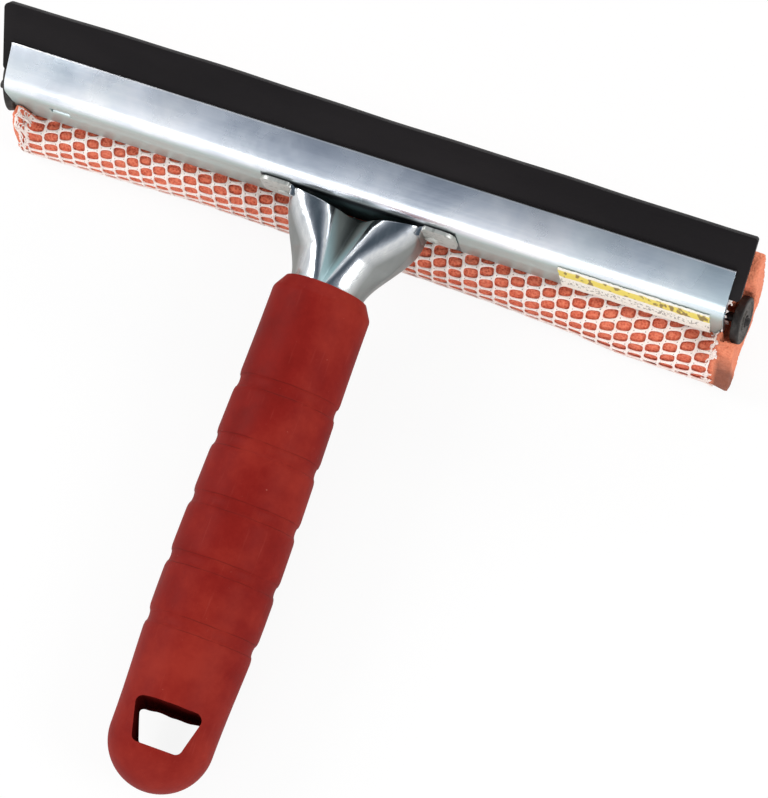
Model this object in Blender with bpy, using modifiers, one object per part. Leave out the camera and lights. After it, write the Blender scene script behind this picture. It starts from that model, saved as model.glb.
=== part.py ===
"""A window squeegee: a rubber blade clamped between bent steel plates, a sponge in a net
behind it, a formed steel neck and a moulded grip.

Metres, +Z up. Every piece is drawn in the head's own frame: X along the head, Y away from
the grip on the grip's axis, Z to the side that the blade leans to. The origin of that frame
is on the grip's axis, in the under face of the front plate's base. One empty tilts the whole
tool until it lies on its sponge and on the end of its grip.
"""

from math import acos, atan2, ceil, cos, copysign, exp, hypot, log, pi, radians, sin, tan

import bmesh
import bpy
from mathutils import Matrix, Vector

# Seats and clearances
SEAT_GAP = 0.0003
RIVET_CLEARANCE = 0.0003
WASHER_CLEARANCE = 0.00035
BORE_CLEARANCE = 0.0003
SPONGE_CLEARANCE = 0.0006

# Bent plates of the head
SHEET = 0.0008
PLATE_LENGTH = 0.197
LEAN = radians(28)
BASE_FRONT = 0.0105
BASE_REAR = 0.0093
UPPER_FLAT = 0.0126
FRONT_BEND = 0.0045
BACK_PLATE_HEIGHT = 0.011
FLANGE_REAR = 0.0085
BACK_BEND = 0.0018

# Rubber blade
BLADE_THICKNESS = 0.003
BLADE_FOOT = 0.0048
BLADE_OUT = 0.0102
BLADE_PAST_LEFT = 0.0038
BLADE_FOOT_PAST_LEFT = 0.001
BLADE_PAST_RIGHT = 0.0028
BLADE_CHAMFER = 0.0012
BLADE_CORNER = 0.0012

# Tongues lanced out of the front plate, standing in slots of the back plate
TONGUE_FROM_END = 0.0147
TONGUE_WIDTH = 0.0051
WINDOW_FRONT = 0.0046
WINDOW_LENGTH = 0.0026

# Hooks lanced out of the back plate over the rod
HOOK_FROM_END = 0.0285
HOOK_PAST_RIVET = 0.0147
HOOK_WIDTH = 0.006
HOOK_BEND = 0.0012
HOOK_REACH = 0.0034

# Rod and end washers
ROD_RADIUS = 0.0012
ROD_Z = -0.0045
ROD_TIP = 0.002
WASHER_RADIUS = 0.0061
WASHER_THICKNESS = 0.0023
WASHER_EDGE = 0.0003
WASHER_TILT_LEFT = radians(12)
WASHER_TILT_RIGHT = radians(8)

# Sponge, with the outside of the net that holds it
SPONGE_PAST_LEFT = 0.0021
SPONGE_PAST_RIGHT = 0.0037
SPONGE_NOTCH_CORNER = 0.0015
PAD_BACK = 0.0262
PAD_TOP = 0.0198
PAD_TOP_REAR = 0.0183
PAD_DROP = 0.0124
PAD_SEAT_CORNER = 0.001
PAD_FRONT_CORNER = 0.0025
PAD_UNDER_CORNER = 0.004
PAD_REAR_UNDER = 0.0115
PAD_REAR_UPPER = 0.017
REST_FLAT = 0.0005
REST_TILT_LIMIT = radians(30)
REST_HALVINGS = 40

# Net
NET_FROM_END = 0.003
NET_THICKNESS = 0.0007
NET_COLUMNS = 22
NET_ROWS = 10
NET_OPEN_SHARE = 0.72
NET_END_HEM = 0.0013
NET_BAND_EDGE = 0.0009
NET_FRONT_BAND = 0.0035
NET_STEP = radians(7.5)

# Neck
NECK_SHEET = 0.001
TUBE_RADIUS = 0.0099
TUBE_IN_GRIP = 0.045
NECK_HALF_WIDTH = 0.0178
NECK_HALF_DEPTH = 0.0094
NECK_UPPER_RING = 0.003
NECK_RINGS = 10
NECK_WALL_POINTS = 40
RIM_DROP = 0.0006
RIM_DIP = 0.0018
RIM_SQUARENESS = 9
CREASE_DEPTH = 0.0113
CREASE_HALF_RIM = 0.0066
CREASE_HALF_MOUTH = 0.0014
CREASE_STATIONS = (0.05, 0.3, 0.6, 0.82, 0.95, 1.08, 1.22, 1.45)
FLARE_HASTE = 1.1
FLARE_EASE = 0.9
CREASE_ROUND = 0.05
FOLD_SOFTNESS = 0.12
TAB_WIDTH = 0.0089
TAB_FRONT = 0.0092
TAB_REAR = 0.0086
TAB_CORNER = 0.003
RIVET_FROM_NECK = 0.0025
RIVET_RADIUS = 0.0013
RIVET_HEAD_RADIUS = 0.0019
RIVET_HEAD_HEIGHT = 0.0005
RIVET_HEAD_FLAT = 0.7

# Grip
GRIP_MOUTH = 0.023
GRIP_LENGTH = 0.1355
GRIP_SIDES = 60
GRIP_END_RADIUS = 0.014
GRIP_LIP = 0.0006
GRIP_SHOULDER_WALL = 0.003
GRIP_SHOULDER = 0.004
GRIP_BELLY_RADIUS = 0.01475
GRIP_BELLY_FROM_END = 0.0505
GROOVE_COUNT = 5
GROOVE_FIRST = 0.0294
GROOVE_LAST_FROM_END = 0.0421
GROOVE_WIDTH = 0.0034
GROOVE_DEPTH = 0.0005
GROOVE_SLOPE = 0.0004
GRIP_TURN = radians(6)
HOLE_FROM_END = 0.0225
HOLE_HEIGHT = 0.0115
HOLE_TOP_WIDTH = 0.018
HOLE_END_WIDTH = 0.0125
HOLE_CORNER = 0.0018

# Label
LABEL_FROM_END = 0.004
LABEL_LENGTH = 0.0403
LABEL_FRONT = 0.0051
LABEL_WIDTH = 0.0142
LABEL_THICKNESS = 0.0003

# Places that follow from the sizes above
PLATE_END = PLATE_LENGTH / 2
FLANGE_TOP = 2 * SHEET + SEAT_GAP
NET_SEAT = FLANGE_TOP + SEAT_GAP
ROD_Y = NET_SEAT + NET_THICKNESS + SEAT_GAP + ROD_RADIUS
BLADE_BACK = SHEET + SEAT_GAP + BLADE_THICKNESS
BACK_PLATE_BACK = BLADE_BACK + SEAT_GAP + SHEET
PAD_FRONT_Z = -max(TUBE_RADIUS, NECK_HALF_DEPTH, BASE_REAR) - SEAT_GAP
TAB_TOP = -SEAT_GAP
GRIP_END = -GRIP_MOUTH - GRIP_LENGTH
BLADE_LEFT = PLATE_END + BLADE_PAST_LEFT
BLADE_LEFT_FOOT = PLATE_END + BLADE_FOOT_PAST_LEFT
BLADE_RIGHT = PLATE_END + BLADE_PAST_RIGHT
SPONGE_LEFT = PLATE_END + SPONGE_PAST_LEFT
SPONGE_RIGHT = PLATE_END + SPONGE_PAST_RIGHT
NET_LENGTH = PLATE_LENGTH - 2 * NET_FROM_END
TONGUE_X = PLATE_END - TONGUE_FROM_END
WASHER_SWING = WASHER_THICKNESS / 2 + WASHER_RADIUS * sin(WASHER_TILT_LEFT)
WASHER_X = PLATE_END + SEAT_GAP + WASHER_SWING
RIVET_X = NECK_HALF_WIDTH + RIVET_FROM_NECK
TAB_REACH = NECK_HALF_WIDTH + TAB_WIDTH
LABEL_RIGHT = PLATE_END - LABEL_FROM_END
HOOK_OUTER = PLATE_END - HOOK_FROM_END
HOOK_INNER = RIVET_X + HOOK_PAST_RIVET
HOOK_XS = (-HOOK_OUTER, -HOOK_INNER, HOOK_INNER, HOOK_OUTER)
HOOK_BACK_Z = ROD_Z - ROD_RADIUS - SEAT_GAP - SHEET
HOOK_TOP = ROD_Y + ROD_RADIUS + SEAT_GAP + SHEET
HOOK_BLANK = HOOK_TOP - SHEET - SEAT_GAP + HOOK_REACH
SPONGE_SEAT = HOOK_TOP + SEAT_GAP
SPONGE_INSET = NET_THICKNESS + SPONGE_CLEARANCE
GRIP_BORE = TUBE_RADIUS + BORE_CLEARANCE
GRIP_MOUTH_RADIUS = GRIP_BORE + GRIP_LIP
GRIP_SHOULDER_RADIUS = GRIP_BORE + GRIP_SHOULDER_WALL
GRIP_BELLY = GRIP_LENGTH - GRIP_BELLY_FROM_END
GROOVE_LAST = GRIP_LENGTH - GROOVE_LAST_FROM_END
GROOVE_PITCH = (GROOVE_LAST - GROOVE_FIRST) / (GROOVE_COUNT - 1)
HOLE_TOP = GRIP_LENGTH - HOLE_FROM_END

# Colour, roughness and metallic value of the materials
ZINC = ((0.56, 0.58, 0.61), 0.3, 1.0)
NECK_STEEL = ((0.5, 0.54, 0.58), 0.16, 1.0)
RUBBER = ((0.02, 0.018, 0.02), 0.5)
GRIP_PLASTIC = ((0.24, 0.016, 0.012), 0.45)
SPONGE_FOAM = ((0.74, 0.16, 0.08), 0.9)
NET_YARN = ((0.9, 0.72, 0.68), 0.7)
PAPER = ((0.85, 0.82, 0.72), 0.6)

# A drawing's x, y and z become the head's Y, Z and X
SECTION = Matrix(((0, 0, 1), (1, 0, 0), (0, 1, 0)))
# A drawing's x, y and z become the head's X, Z and minus Y
PLAN = Matrix(((1, 0, 0), (0, 0, -1), (0, 1, 0)))


def clear_scene():
    for old in list(bpy.data.objects):
        bpy.data.objects.remove(old, do_unlink=True)


def new_collection(name):
    collection = bpy.data.collections.new(name)
    bpy.context.scene.collection.children.link(collection)
    return collection


def new_root(collection):
    root = bpy.data.objects.new("tool_frame", None)
    collection.objects.link(root)
    return root


def add_object(name, mesh, place=(0, 0, 0), turn=None):
    made = bpy.data.objects.new(name, mesh)
    parts.objects.link(made)
    made.parent = root
    made.location = place
    made.rotation_euler = (turn or Matrix.Identity(3)).to_euler()
    return made


def as_cutter(cutter):
    parts.objects.unlink(cutter)
    cutters.objects.link(cutter)
    cutter.hide_render = True
    cutter.display_type = "WIRE"
    return cutter


def boolean(piece, other, operation):
    modifier = piece.modifiers.new(f"{operation.title()} {other.name}", "BOOLEAN")
    modifier.object = other
    modifier.operation = operation


def cut(piece, cutter):
    boolean(piece, as_cutter(cutter), "DIFFERENCE")


def join(piece, other):
    boolean(piece, as_cutter(other), "UNION")


def coat(piece, colour, roughness, metallic=0.0):
    """The piece's own material."""
    material = bpy.data.materials.new(piece.name)
    material.use_nodes = True
    shader = material.node_tree.nodes["Principled BSDF"]
    shader.inputs["Base Color"].default_value = (*colour, 1)
    shader.inputs["Roughness"].default_value = roughness
    shader.inputs["Metallic"].default_value = metallic
    piece.data.materials.append(material)


def arc_centre(before, corner, after, radius):
    to_before = (before - corner).normalized()
    to_after = (after - corner).normalized()
    half = to_before.angle(to_after) / 2
    return corner + (to_before + to_after).normalized() * radius / sin(half), half


def fitted_radii(spots, radii, closed):
    """The corners' radii, made smaller where two arcs would meet on the side between them."""
    count = len(spots)
    free = [*radii] if closed else [0, *radii[1:-1], 0]
    sides = [(spots[(index + 1) % count] - spots[index]).length for index in range(count)]
    reaches = []
    for index, radius in enumerate(free):
        if not radius:
            reaches.append(0)
            continue
        before, corner, after = spots[index - 1], spots[index], spots[(index + 1) % count]
        reaches.append(radius / tan((before - corner).angle(after - corner) / 2))
    fitted = []
    for index, radius in enumerate(free):
        ahead = reaches[index] + reaches[(index + 1) % count]
        behind = reaches[index] + reaches[index - 1]
        share = 1
        if radius:
            share = min(1, sides[index] / ahead, sides[index - 1] / behind)
        fitted.append(radius * share)
    return fitted


def rounded(corners, closed=True, step=radians(15)):
    """Points of an outline given as (x, y, radius) corners, each corner turned into an arc."""
    spots = [Vector(corner[:2]) for corner in corners]
    radii = fitted_radii(spots, [corner[2] for corner in corners], closed)
    outline = []
    for index, (corner, radius) in enumerate(zip(spots, radii)):
        if not radius:
            outline.append(corner)
            continue
        before = spots[index - 1]
        after = spots[(index + 1) % len(spots)]
        centre, half = arc_centre(before, corner, after, radius)
        reach = radius / tan(half)
        start = corner + (before - corner).normalized() * reach - centre
        end = corner + (after - corner).normalized() * reach - centre
        sweep = atan2(start.cross(end), start.dot(end))
        steps = max(2, ceil(abs(sweep) / step))
        for share in range(steps + 1):
            outline.append(centre + Matrix.Rotation(sweep * share / steps, 2) @ start)
    return outline


def drawn(name, outline, thickness, closed=True, place=(0, 0, 0), turn=SECTION):
    """An outline drawn in a plane and extruded to both sides: filled if closed, or a strip."""
    curve = bpy.data.curves.new(name, "CURVE")
    curve.dimensions = "2D"
    curve.fill_mode = "BOTH" if closed else "NONE"
    curve.extrude = thickness / 2
    spline = curve.splines.new("POLY")
    spline.points.add(len(outline) - 1)
    for point, (x, y) in zip(spline.points, outline):
        point.co = (x, y, 0, 1)
    spline.use_cyclic_u = closed
    drawing = bpy.data.objects.new(name, curve)
    parts.objects.link(drawing)
    depsgraph = bpy.context.evaluated_depsgraph_get()
    mesh = bpy.data.meshes.new_from_object(drawing.evaluated_get(depsgraph))
    bpy.data.objects.remove(drawing)
    bpy.data.curves.remove(curve)
    bm = bmesh.new()
    bm.from_mesh(mesh)
    bmesh.ops.remove_doubles(bm, verts=bm.verts, dist=1e-6)
    if closed:
        bmesh.ops.recalc_face_normals(bm, faces=bm.faces)
    bm.to_mesh(mesh)
    bm.free()
    mesh.name = name
    return add_object(name, mesh, place, turn)


def box(name, size, centre):
    bm = bmesh.new()
    bmesh.ops.create_cube(bm, size=1)
    bmesh.ops.scale(bm, vec=size, verts=bm.verts)
    mesh = bpy.data.meshes.new(name)
    bm.to_mesh(mesh)
    bm.free()
    return add_object(name, mesh, centre)


def cylinder(name, radius, length, centre, turn, sides=24):
    bm = bmesh.new()
    bmesh.ops.create_cone(
        bm, cap_ends=True, segments=sides, radius1=radius, radius2=radius, depth=length
    )
    mesh = bpy.data.meshes.new(name)
    bm.to_mesh(mesh)
    bm.free()
    return add_object(name, mesh, centre, turn)


def turned(name, profile, sides, place, turn):
    """A closed solid of revolution: (radius, height) points, top to bottom, about local Z."""
    mesh = bpy.data.meshes.new(name)
    loop = profile[0][0] > 0
    edges = [(i, i + 1) for i in range(len(profile) - 1)]
    if loop:
        edges.append((len(profile) - 1, 0))
    mesh.from_pydata([(radius, 0, height) for radius, height in profile], edges, [])
    piece = add_object(name, mesh, place, turn)
    screw = piece.modifiers.new("Turn", "SCREW")
    screw.steps = sides
    screw.render_steps = sides
    screw.use_merge_vertices = True
    screw.merge_threshold = 1e-5
    screw.use_smooth_shade = True
    return piece


def thicken(piece, thickness, side, even=True):
    solid = piece.modifiers.new("Sheet", "SOLIDIFY")
    solid.thickness = thickness
    solid.offset = side
    solid.use_even_offset = even


def on_lean(back, up):
    """A point (y, z) of the leaning plates, from the corner where the outer faces meet."""
    return (
        up * cos(LEAN) + back * sin(LEAN),
        BASE_FRONT + up * sin(LEAN) - back * cos(LEAN),
    )


def on_lean_at(back, y):
    return on_lean(back, (y - back * sin(LEAN)) / cos(LEAN))


def pad_corners(inset, seat, seat_corner):
    """Corners of the section round the sponge, drawn in from the outside of the net."""
    front = BACK_PLATE_BACK + SEAT_GAP + inset
    rear = -PAD_BACK + inset
    under = -PAD_DROP + inset
    return [
        (*on_lean_at(front, seat), PAD_SEAT_CORNER),
        (seat, PAD_FRONT_Z - inset, seat_corner),
        (under, PAD_FRONT_Z - inset, PAD_UNDER_CORNER - inset),
        (under, rear, PAD_REAR_UNDER - inset),
        (PAD_TOP_REAR - inset, rear, PAD_REAR_UPPER - inset),
        (*on_lean_at(front, PAD_TOP - inset), PAD_FRONT_CORNER - inset),
    ]


def rest_line():
    """The tilt at which the tool lies on its net and its grip, and the floor's level there."""
    outline = rounded(pad_corners(0, NET_SEAT, PAD_SEAT_CORNER), step=NET_STEP)
    ball_y = GRIP_END + GRIP_END_RADIUS
    low, high = -REST_TILT_LIMIT, REST_TILT_LIMIT
    for _ in range(REST_HALVINGS):
        tilt = (low + high) / 2
        floor = ball_y * sin(tilt) - GRIP_END_RADIUS
        pad = min(point.x * sin(tilt) + point.y * cos(tilt) for point in outline)
        if pad + REST_FLAT < floor:
            low = tilt
        else:
            high = tilt
    return tilt, floor


def lifted(point, level):
    """A section point, moved up to a level above the floor where it would lie below it."""
    up = Vector((sin(REST_TILT), cos(REST_TILT)))
    short = level - point.dot(up)
    return point + up * max(short, 0)


def build_front_plate():
    edge = on_lean(0, UPPER_FLAT)
    section = rounded(
        [(*edge, 0), (0, BASE_FRONT, FRONT_BEND), (0, -BASE_REAR, 0)], closed=False
    )
    plate = drawn("front_plate", section, PLATE_LENGTH, closed=False)
    thicken(plate, SHEET, PLATE_SIDE)
    for side in (-1, 1):
        tongue_top = FLANGE_TOP
        foot = SHEET / 2
        window = box(
            f"window_cut_{side}",
            (TONGUE_WIDTH + 2 * SEAT_GAP, 4 * SHEET, WINDOW_LENGTH),
            (side * TONGUE_X, 0, WINDOW_FRONT - WINDOW_LENGTH / 2),
        )
        cut(plate, window)
        tongue = box(
            f"tongue_{side}",
            (TONGUE_WIDTH, tongue_top - foot, SHEET),
            (
                side * TONGUE_X,
                (tongue_top + foot) / 2,
                WINDOW_FRONT - WINDOW_LENGTH - SHEET / 2,
            ),
        )
        join(plate, tongue)
        cut(plate, rivet_hole(side, "front_plate"))
    coat(plate, *ZINC)


def rivet_hole(side, where):
    return cylinder(
        f"rivet_hole_{where}_{side}",
        RIVET_RADIUS + RIVET_CLEARANCE,
        4 * FLANGE_TOP,
        (side * RIVET_X, 0, 0),
        PLAN,
    )


def build_back_plate():
    face = BLADE_BACK + SEAT_GAP
    level = SHEET + SEAT_GAP
    section = rounded(
        [
            (*on_lean(face, BACK_PLATE_HEIGHT), 0),
            (*on_lean_at(face, level), BACK_BEND),
            (level, -FLANGE_REAR, 0),
        ],
        closed=False,
    )
    plate = drawn("back_plate", section, PLATE_LENGTH, closed=False)
    thicken(plate, SHEET, PLATE_SIDE)
    for side in (-1, 1):
        slot = box(
            f"tongue_slot_{side}",
            (TONGUE_WIDTH + 2 * SEAT_GAP, 4 * SHEET, SHEET + 2 * SEAT_GAP),
            (side * TONGUE_X, level, WINDOW_FRONT - WINDOW_LENGTH - SHEET / 2),
        )
        cut(plate, slot)
        cut(plate, rivet_hole(side, "back_plate"))
    for x in HOOK_XS:
        window = box(
            f"hook_window_{x}",
            (HOOK_WIDTH + 2 * SEAT_GAP, 4 * SHEET, HOOK_BLANK),
            (x, level, HOOK_BACK_Z + SHEET + HOOK_BLANK / 2),
        )
        cut(plate, window)
        join(plate, hook(x, level))
    coat(plate, *ZINC)


def hook(x, level):
    """A lanced strip that stands behind the rod and reaches forward over it."""
    foot = level + SHEET / 4
    tip = HOOK_BACK_Z + SHEET + HOOK_REACH
    outline = rounded(
        [
            (foot, HOOK_BACK_Z, 0),
            (HOOK_TOP, HOOK_BACK_Z, HOOK_BEND),
            (HOOK_TOP, tip, 0),
            (HOOK_TOP - SHEET, tip, 0),
            (HOOK_TOP - SHEET, HOOK_BACK_Z + SHEET, HOOK_BEND - SHEET),
            (foot, HOOK_BACK_Z + SHEET, 0),
        ]
    )
    return drawn(f"hook_{x}", outline, HOOK_WIDTH, place=(x, 0, 0))


def build_blade():
    top = UPPER_FLAT + BLADE_OUT
    outline = rounded(
        [
            (-BLADE_LEFT_FOOT + BLADE_CHAMFER, BLADE_FOOT, 0),
            (BLADE_RIGHT - BLADE_CHAMFER, BLADE_FOOT, 0),
            (BLADE_RIGHT, BLADE_FOOT + BLADE_CHAMFER, 0),
            (BLADE_RIGHT, top, BLADE_CORNER),
            (-BLADE_LEFT, top, BLADE_CORNER),
            (-BLADE_LEFT_FOOT, BLADE_FOOT + BLADE_CHAMFER, 0),
        ]
    )
    middle = on_lean(SHEET + SEAT_GAP + BLADE_THICKNESS / 2, 0)
    blade = drawn(
        "rubber_blade",
        outline,
        BLADE_THICKNESS,
        place=(0, *middle),
        turn=Matrix.Rotation(LEAN, 3, "X"),
    )
    coat(blade, *RUBBER)


def build_rod():
    length = 2 * (WASHER_X + WASHER_THICKNESS / 2 + ROD_TIP)
    rod = cylinder("net_rod", ROD_RADIUS, length, (0, ROD_Y, ROD_Z), SECTION, sides=16)
    coat(rod, *RUBBER)


def build_washer(name, side, tilt):
    bore = ROD_RADIUS + WASHER_CLEARANCE
    half = WASHER_THICKNESS / 2
    profile = [
        (bore, half),
        (WASHER_RADIUS - WASHER_EDGE, half),
        (WASHER_RADIUS, half - WASHER_EDGE),
        (WASHER_RADIUS, WASHER_EDGE - half),
        (WASHER_RADIUS - WASHER_EDGE, -half),
        (bore, -half),
    ]
    place = (side * WASHER_X, ROD_Y, ROD_Z)
    washer = turned(name, profile, 32, place, tilt @ SECTION)
    coat(washer, *RUBBER)


def build_sponge():
    corners = pad_corners(SPONGE_INSET, SPONGE_SEAT, SPONGE_NOTCH_CORNER)
    level = REST_LEVEL + SPONGE_INSET
    outline = [lifted(point, level) for point in rounded(corners)]
    middle = (SPONGE_RIGHT - SPONGE_LEFT) / 2
    sponge = drawn("sponge", outline, SPONGE_LEFT + SPONGE_RIGHT, place=(middle, 0, 0))
    for side, tilt in ((-1, WASHER_TILT_LEFT), (1, WASHER_TILT_RIGHT)):
        inner = WASHER_X - WASHER_THICKNESS / 2 - WASHER_RADIUS * sin(tilt) - 2 * SEAT_GAP
        depth = 2 * WASHER_RADIUS
        pocket = cylinder(
            f"washer_pocket_{side}",
            WASHER_RADIUS + SPONGE_CLEARANCE,
            depth,
            (side * (inner + depth / 2), ROD_Y, ROD_Z),
            SECTION,
        )
        cut(sponge, pocket)
    coat(sponge, *SPONGE_FOAM)


def lengths_along(outline):
    """How far along a closed outline each of its points lies, and its whole length."""
    reached = [0]
    for here, there in zip(outline, outline[1:] + outline[:1]):
        reached.append(reached[-1] + (there - here).length)
    return reached


def walk(outline, reached, distance):
    """The point at a distance along a closed outline."""
    for index, end in enumerate(reached[1:]):
        if distance <= end:
            break
    start = reached[index]
    share = (distance - start) / (reached[index + 1] - start)
    return outline[index].lerp(outline[(index + 1) % len(outline)], share)


def net_cell(column, row, pitch, start, box_low, box_high):
    """The six corners of one opening, staggered by half a cell in every other column."""
    centre_x = start[0] + (column + 0.5) * pitch[0]
    centre_y = start[1] + (row + 0.5 + column % 2 / 2) * pitch[1]
    corners = []
    for x, y in ((2, 0), (1, 1), (-1, 1), (-2, 0), (-1, -1), (1, -1)):
        corner_x = centre_x + x / 3 * pitch[0] * NET_OPEN_SHARE
        corner_y = centre_y + y / 2 * pitch[1] * NET_OPEN_SHARE
        corners.append(
            (
                min(max(corner_x, box_low[0]), box_high[0]),
                min(max(corner_y, box_low[1]), box_high[1]),
            )
        )
    return corners


def net_faces(low, high):
    """Flat strands between staggered six-sided openings that fill the box from low to high."""
    inner = NET_LENGTH - 2 * NET_END_HEM
    spill = (2 / 3 * NET_OPEN_SHARE - 0.5) * 2
    pitch = (
        inner / (NET_COLUMNS + spill),
        (high[1] - low[1]) / (NET_ROWS + 0.5),
    )
    start = (low[0] + NET_END_HEM + spill / 2 * pitch[0], low[1])
    columns = range(-1, NET_COLUMNS + 1)
    rows = range(-1, NET_ROWS + 1)
    cells = {
        (column, row): net_cell(column, row, pitch, start, low, high)
        for column in columns
        for row in range(-2, NET_ROWS + 2)
    }
    faces = []
    for (column, row), own in cells.items():
        over = cells.get((column, row + 1))
        upper = cells.get((column + 1, row + column % 2))
        lower = cells.get((column + 1, row + column % 2 - 1))
        if column not in range(NET_COLUMNS) or row not in range(NET_ROWS):
            faces.append(own)
        if over:
            faces.append([own[2], own[1], over[5], over[4]])
        if upper:
            faces.append([own[1], own[0], upper[4], upper[3]])
        if lower:
            faces.append([own[0], own[5], lower[3], lower[2]])
        if over and upper:
            faces.append([own[1], upper[3], over[5]])
        if upper and lower:
            faces.append([own[0], lower[2], upper[4]])
    return faces


def area(face):
    total = 0
    for (x, y), (next_x, next_y) in zip(face, face[1:] + face[:1]):
        total += x * next_y - next_x * y
    return abs(total) / 2


def face_outward(skin):
    """Turn the faces of an open skin away from what it goes round, by its rearmost face."""
    bmesh.ops.recalc_face_normals(skin, faces=skin.faces)
    rearmost = min(skin.faces, key=lambda face: face.calc_center_median().z)
    if rearmost.normal.z > 0:
        bmesh.ops.reverse_faces(skin, faces=skin.faces)


def build_net():
    corners = pad_corners(0, NET_SEAT, PAD_SEAT_CORNER)
    outline = rounded(corners, step=NET_STEP)
    reached = lengths_along(outline)
    seat_end = len(rounded([corners[-1], *corners[:3]], closed=False, step=NET_STEP)) - 3
    top_start = len(rounded([corners[-1], *corners], closed=False, step=NET_STEP)) - 2
    band_low = reached[seat_end] + outline[seat_end].x + NET_BAND_EDGE
    band_high = reached[top_start] - NET_FRONT_BAND
    half = NET_LENGTH / 2
    bm = bmesh.new()
    spots = {}

    def corner(x, distance):
        key = (round(x, 7), round(distance, 7))
        if key not in spots:
            point = lifted(walk(outline, reached, distance), REST_LEVEL)
            spots[key] = bm.verts.new((x, *point))
        return spots[key]

    for face in net_faces((-half, band_low), (half, band_high)):
        if area(face) > 1e-9:
            around = list(dict.fromkeys(corner(*spot) for spot in face))
            bm.faces.new(around)
    edges = {}
    for distance in (band_low, band_high):
        level = round(distance, 7)
        edges[distance] = [spots[key] for key in sorted(spots) if key[1] == level]
    rows = [*range(top_start, len(outline)), *range(seat_end + 1)]
    band = [[corner(x, reached[row]) for x in (-half, half)] for row in rows]
    for (left, right), (next_left, next_right) in zip(band, band[1:]):
        bm.faces.new((left, right, next_right, next_left))
    bm.faces.new([*edges[band_high], *reversed(band[0])])
    bm.faces.new([*edges[band_low], *reversed(band[-1])])
    face_outward(bm)
    mesh = bpy.data.meshes.new("net_sleeve")
    bm.to_mesh(mesh)
    bm.free()
    net = add_object("net_sleeve", mesh)
    thicken(net, NET_THICKNESS, -1, even=False)
    for x in HOOK_XS:
        size = (HOOK_WIDTH + 2 * SEAT_GAP, 4 * NET_THICKNESS, SHEET + 2 * SEAT_GAP)
        cut(net, box(f"hook_slot_{x}", size, (x, NET_SEAT, HOOK_BACK_Z + SHEET / 2)))
    coat(net, *NET_YARN)


def neck_ring(drop):
    """Points (x, z) round the neck, at a distance below the base."""
    opened = max((GRIP_MOUTH - drop) / (GRIP_MOUTH - RIM_DROP), 0)
    eased = min(opened * FLARE_HASTE, 1) ** FLARE_EASE
    flared = eased * eased * (3 - 2 * eased)
    half_width = TUBE_RADIUS + (NECK_HALF_WIDTH - TUBE_RADIUS) * flared
    half_depth = TUBE_RADIUS + (NECK_HALF_DEPTH - TUBE_RADIUS) * flared
    square = 2 + (RIM_SQUARENESS - 2) * opened**2
    crease_half = CREASE_HALF_MOUTH + (CREASE_HALF_RIM - CREASE_HALF_MOUTH) * opened
    ring = []
    for share in (*(-station for station in reversed(CREASE_STATIONS)), *CREASE_STATIONS):
        x = share * crease_half
        front = half_depth * (1 - (abs(x) / half_width) ** square) ** (1 / square)
        from_fold = 1 - hypot(share, CREASE_ROUND) + CREASE_ROUND
        fall = FOLD_SOFTNESS * log(1 + exp(from_fold / FOLD_SOFTNESS))
        ring.append((x, front - CREASE_DEPTH * opened * fall))
    edge = acos((CREASE_STATIONS[-1] * crease_half / half_width) ** (square / 2))
    sweep = pi + 2 * edge
    for step in range(1, NECK_WALL_POINTS):
        angle = edge - sweep * step / NECK_WALL_POINTS
        x = copysign(abs(cos(angle)) ** (2 / square), cos(angle)) * half_width
        z = copysign(abs(sin(angle)) ** (2 / square), sin(angle)) * half_depth
        ring.append((x, z))
    return ring


def build_neck():
    step = (GRIP_MOUTH - NECK_UPPER_RING) / (NECK_RINGS - 1)
    drops = [RIM_DROP, *(NECK_UPPER_RING + step * ring for ring in range(NECK_RINGS))]
    drops.append(GRIP_MOUTH + TUBE_IN_GRIP)
    bm = bmesh.new()
    rings = []
    for drop in drops:
        points = neck_ring(drop)
        dip = RIM_DIP if drop == RIM_DROP else 0
        rings.append(
            [
                bm.verts.new((x, -drop - dip * (1 - (x / NECK_HALF_WIDTH) ** 2), z))
                for x, z in points
            ]
        )
    for upper, lower in zip(rings, rings[1:]):
        for here in range(len(upper)):
            bm.faces.new((upper[here - 1], upper[here], lower[here], lower[here - 1]))
    face_outward(bm)
    mesh = bpy.data.meshes.new("neck")
    bm.to_mesh(mesh)
    bm.free()
    mesh.shade_smooth()
    neck = add_object("neck", mesh)
    thicken(neck, NECK_SHEET, -1)
    inner = NECK_HALF_WIDTH - NECK_SHEET / 2
    for side in (-1, 1):
        outline = rounded(
            [
                (side * inner, -TAB_REAR, 0),
                (side * inner, TAB_FRONT, 0),
                (side * TAB_REACH, TAB_FRONT, TAB_CORNER),
                (side * TAB_REACH, -TAB_REAR, TAB_CORNER),
            ]
        )
        place = (0, TAB_TOP - NECK_SHEET / 2, 0)
        join(neck, drawn(f"tab_{side}", outline, NECK_SHEET, place=place, turn=PLAN))
        cut(neck, rivet_hole(side, "neck"))
    coat(neck, *NECK_STEEL)


def build_rivet(name, side):
    head_top = SEAT_GAP - TAB_TOP + NECK_SHEET
    profile = [
        (0, head_top + RIVET_HEAD_HEIGHT),
        (RIVET_HEAD_RADIUS * RIVET_HEAD_FLAT, head_top + RIVET_HEAD_HEIGHT),
        (RIVET_HEAD_RADIUS, head_top + RIVET_HEAD_HEIGHT / 2),
        (RIVET_HEAD_RADIUS, head_top),
        (RIVET_RADIUS, head_top),
        (RIVET_RADIUS, -FLANGE_TOP),
        (0, -FLANGE_TOP),
    ]
    rivet = turned(name, profile, 20, (side * RIVET_X, 0, 0), PLAN)
    coat(rivet, *NECK_STEEL)


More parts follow.
